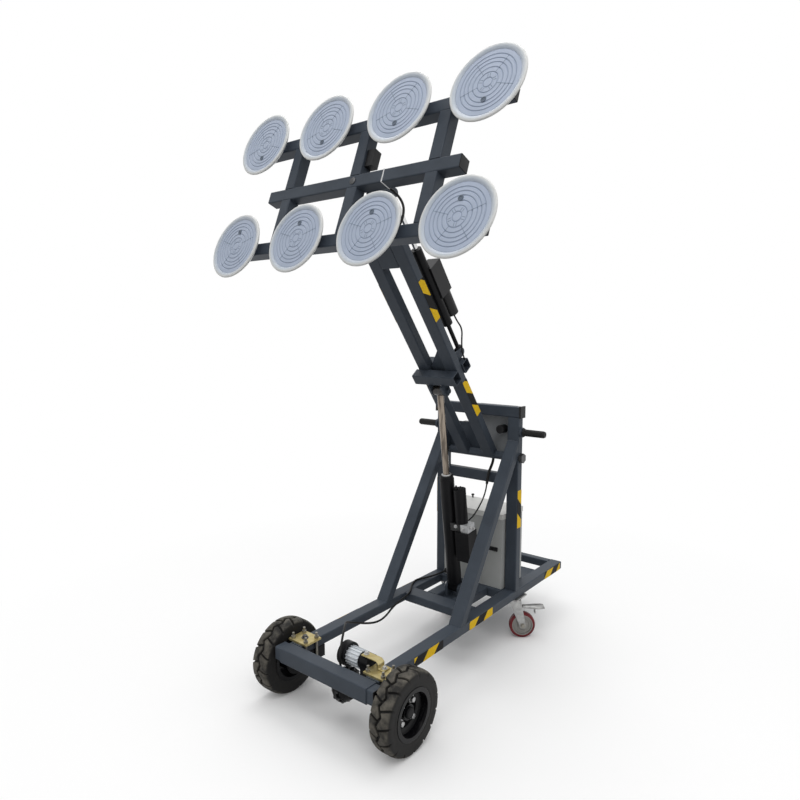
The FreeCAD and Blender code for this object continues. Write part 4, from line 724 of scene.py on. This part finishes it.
def hazard_tapes():
    """Tapes on the outer faces of rails, posts and boom: where each starts and ends, and its phase."""
    rail_face, rail_height, boom_face = 0.230, 0.228, 0.103
    post_height, post_length = 0.645, 0.180
    on_rail = ((-0.490, -0.300, 0.058), (-0.105, 0.085, 0), (0.605, 0.783, -0.028))
    on_boom = ((0.800, 0.995, 0.008), (0.270, 0.470, 0.008))
    up = BOOM.to_3x3() @ Vector((0, 0, 1))
    for side, way in SIDES:
        out = (way, 0, 0)
        for k, (low, high, phase) in enumerate(on_rail):
            spot = (rail_face * way, (low + high) / 2, rail_height)
            tape(f"{side}_rail_tape_{k}", high - low, spot, out, (0, 1, 0), "chassis", phase)
        spot = (rail_face * way, PIVOT[1], post_height)
        tape(f"{side}_post_tape", post_length, spot, out, (0, 0, 1), "chassis")
        for k, (low, high, phase) in enumerate(on_boom):
            spot = BOOM @ Vector((boom_face * way, 0, (low + high) / 2))
            tape(f"{side}_boom_tape_{k}", high - low, spot, out, up, "boom", phase)


# Lift cylinder and box
def lift_details():
    """The cylinder's seal ring, the pump motor's terminals, the block's plugs and the foot pin's nuts."""
    ring_height, motor_top, nut_seat = 0.5607, 0.5049, 0.039
    ring = lathe_mesh("gland_ring", [(0.0155, 0), (0.0225, 0), (0.0225, 0.005), (0.0205, 0.007),
                                     (0.0155, 0.007)], 48, True)
    piece("gland_ring", ring, "zinc_steel", "lift_cylinder", LIFT @ Matrix.Translation((0, 0, ring_height)))
    stud = lathe_mesh("power_terminal", [
        (0, 0), (0.0080, 0), (0.0080, 0.006), (0.0062, 0.007), (0.0062, 0.011), (0.0032, 0.011),
        (0.0032, 0.017), (0, 0.018)], 24)
    for k, x in enumerate((0.054, 0.078)):
        piece(f"power_terminal_{k}", stud, "black_plastic", "lift_cylinder",
              LIFT @ Matrix.Translation((x, -0.008, motor_top)))
    plug = bolt_mesh("block_plug", 0.010, 0.008)
    right, front = (1, 0, 0), (0, -1, 0)
    for k, (x, y, z, normal) in enumerate(((0.116, -0.010, 0.330, right), (0.116, 0.014, 0.318, right),
                                           (0.088, -0.027, 0.324, front), (0.050, -0.027, 0.330, front))):
        piece(f"block_plug_{k}", plug, "zinc_steel", "lift_cylinder", LIFT @ facing((x, y, z), normal))
    nut = bolt_mesh("foot_nut", 0.026, 0.012, 1.2)
    for side, way in SIDES:
        seat = facing((nut_seat * way, *LIFT_FOOT[1:]), (way, 0, 0))
        piece(f"foot_nut_{side}", nut, "zinc_steel", "chassis", seat)


def box_details():
    """The lid's knob, and the gland where the motor cable leaves the box."""
    knob = lathe_mesh("lid_knob", [(0, 0), (0.006, 0), (0.004, 0.002), (0.004, 0.009), (0.0075, 0.012),
                                   (0.008, 0.016), (0.006, 0.019), (0, 0.020)], 32)
    piece("lid_knob", knob, "black_plastic", "chassis", Matrix.Translation((-0.114, 0.455, 0.615)))
    gland = lathe_mesh("cable_gland", [
        (0.0048, 0), (0.012, 0), (0.012, 0.006), (0.0095, 0.008), (0.0095, 0.016), (0.0058, 0.021),
        (0.0048, 0.021)], 24, True)
    start = Vector(ROUTES["motor_cable"][0]) / 1000
    piece("box_gland", gland, "black_plastic", "chassis", facing(start, (0, -1, 0)))


# Cables and hose, in millimetres along the part's own routes
ROUTES = {
    "motor_cable": [(-150, 275, 268), (-150, 232, 268), (-186, 170, 254), (-222, 104, 253),
                    (-190, 30, 253), (-133, -52, 256.5), (-155, -139, 228), (-142, -232, 196),
                    (-140, -315, 206), (-150, -440, 256), (-110, -510, 297), (-55, -570, 317),
                    (-8, -630, 321), (12, -662, 293), (18, -680, 243), (18, -662.9, 196.9)],
    "tilt_cable": [(79, 134, 736), (79, 134, 702), (104, 120, 664), (104, 82, 622), (104, 56, 579),
                   (104, 56, 545)],
    "head_hose": [(102, 29.5, 0), (154, 33, -26), (212, 37, -82), (229, 35, -136), (218, 33, -186),
                  (192, 29.5, -229)],
    "pump_cable": [(67, 343.5, 904), (68, 352, 862), (74, 322, 832), (80, 280, 800), (70, 276, 700),
                   (60, 212, 624), (60, 155.95, 599.58), (60, 106.44, 592.59)],
}


def cable(node, radius, place=Matrix()):
    """A cord on its route, with its line and length."""
    spots = [place @ (Vector(point) / 1000) for point in ROUTES[node]]
    thing = lead(node + "_look", spots, radius, "black_rubber")
    line = line_of(thing)
    return thing, line, sum((b - a).length for a, b in zip(line, line[1:]))


def cables():
    """The three cords that each stay on one body."""
    for node, radius, body, place in (("motor_cable", 0.0045, "chassis", Matrix()),
                                      ("tilt_cable", 0.0035, "boom", BOOM),
                                      ("head_hose", 0.0045, "suction_frame", HEAD)):
        thing, line, length = cable(node, radius, place)
        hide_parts(node)
        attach(thing, body)


def loom_sleeve(line):
    """The thicker sleeve on the cable's upper stretch, drawn in at its ends."""
    last, sides, thick, drawn_in = len(line) - 1, 16, 0.0066, 0.0042
    angles = [2 * math.pi * k / sides for k in range(sides)]

    def build(work):
        rings = []
        for index, spot in enumerate(line):
            way = line[min(index + 1, last)] - line[max(index - 1, 0)]
            radius = thick if 0 < index < last else drawn_in
            seat = facing(spot, way, (1, 0, 0))
            rings.append([work.verts.new(seat @ Vector((radius * math.cos(a), radius * math.sin(a), 0)))
                          for a in angles])
        bridge(work, rings)
    return piece("loom_sleeve", from_bmesh("loom_sleeve", build), "black_rubber", "chassis")


def pump_cable():
    """The cable between the mast and the swinging lift cylinder, as a mesh tube on its route."""
    radius = 0.0035
    thing, line, length = cable("pump_cable", radius)
    mesh = bpy.data.meshes.new_from_object(thing)
    bpy.data.objects.remove(thing)
    thing = bpy.data.objects.new("pump_cable_look", smooth(mesh))
    SCENE.collection.objects.link(thing)
    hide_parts("pump_cable")
    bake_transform(thing)
    sleeve_low, sleeve_high = 0.746, 0.868
    sleeve = loom_sleeve([spot for spot in line if sleeve_low < spot.z < sleeve_high])
    clip = box_mesh("plate_gland", 0.020, 0.012, 0.024, 0.003)
    piece("plate_gland", clip, "black_plastic", "chassis", Matrix.Translation((0.067, 0.346, 0.905)))


# Stage, light and camera
def seen_directly(tree):
    """One for the rays that see the background itself: the camera's, and those in metal and glass."""
    ray = tree.nodes.new("ShaderNodeLightPath").outputs
    mirrored = math_node(tree, "MAXIMUM", ray["Is Glossy Ray"], ray["Is Transmission Ray"])
    return math_node(tree, "MAXIMUM", ray["Is Camera Ray"], mirrored)


def blended(tree, share, first, second, output):
    """Two shaders, mixed by a share, as the output's surface."""
    mix = tree.nodes.new("ShaderNodeMixShader")
    tree.links.new(share, mix.inputs["Fac"])
    tree.links.new(first.outputs[0], mix.inputs[1])
    tree.links.new(second.outputs[0], mix.inputs[2])
    tree.links.new(mix.outputs[0], output.inputs["Surface"])


def floor():
    """A pale floor that keeps the shadow, runs out to plain white and throws little light back."""
    width, thick, gap = 80, 0.02, 0.0001
    fade_start, fade_end = 0.6, 2.4
    thing = bpy.data.objects.new("floor", box_mesh("floor", width, width, thick))
    thing.location = (0, 0, -thick / 2 - gap)
    SCENE.collection.objects.link(thing)
    mat = bpy.data.materials.new("pale_floor")
    mat.use_nodes = True
    tree = mat.node_tree
    socket(tree, "Base Color", mixed(tree, seen_directly(tree), (0.40, 0.40, 0.40), (0.97, 0.97, 0.97)))
    socket(tree, "Roughness", 0.9)
    socket(tree, "Specular IOR Level", 0.1)
    reach = add(tree, "ShaderNodeVectorMath", operation="LENGTH")
    tree.links.new(coords(tree), reach.inputs[0])
    away = spread(tree, reach.outputs["Value"], 0.0, 1.0, fade_start, fade_end)
    white = add(tree, "ShaderNodeEmission", Color=(1, 1, 1, 1), Strength=1.0)
    blended(tree, math_node(tree, "MULTIPLY", away, seen_directly(tree)), tree.nodes["Principled BSDF"],
            white, tree.nodes["Material Output"])
    thing.data.materials.append(mat)


def sky():
    """Soft light, brighter from above, before a white background."""
    world = bpy.data.worlds.new("studio")
    SCENE.world = world
    world.use_nodes = True
    tree = world.node_tree
    tree.nodes.clear()
    horizon, zenith = 0.40, 0.93
    soft = add(tree, "ShaderNodeBackground", Color=(1, 1, 1, 1))
    strength = spread(tree, axes(tree, "Generated")["Z"], horizon, zenith)
    tree.links.new(strength, soft.inputs["Strength"])
    plain = add(tree, "ShaderNodeBackground", Color=(1, 1, 1, 1), Strength=1.0)
    blended(tree, seen_directly(tree), soft, plain, tree.nodes.new("ShaderNodeOutputWorld"))


def lamps():
    """A broad key lamp high on the camera's side and a larger one overhead."""
    for name, spot, target, across, power in (("key", (2.2, -2.6, 4.6), (0, 0, 0.8), 2.6, 50),
                                              ("top", (-0.6, 0.4, 5.0), (0, 0.1, 0.5), 3.0, 58)):
        light = bpy.data.lights.new(name, "AREA")
        light.size = across
        light.energy = power
        thing = bpy.data.objects.new(name, light)
        thing.location = spot
        thing.rotation_euler = (Vector(target) - Vector(spot)).to_track_quat("-Z", "Y").to_euler()
        SCENE.collection.objects.link(thing)
    SCENE.view_settings.view_transform = "Standard"


def camera():
    """The pinhole camera fitted to the photo."""
    pitch, heading = 0.1103, 0.6786
    lens = bpy.data.cameras.new("photo_camera")
    lens.sensor_width = 36
    lens.lens = 28.385
    thing = bpy.data.objects.new("photo_camera", lens)
    thing.location = (1.6083, -2.2861, 1.4811)
    thing.rotation_euler = Euler((math.pi / 2 - pitch, 0, heading))
    SCENE.collection.objects.link(thing)
    SCENE.camera = thing


camera()
cables()
pump_cable()
drive_wheels()
axle_details()
caster_details()
suction_cups()
frame_details()
hazard_tapes()
lift_details()
box_details()
floor()
sky()
lamps()
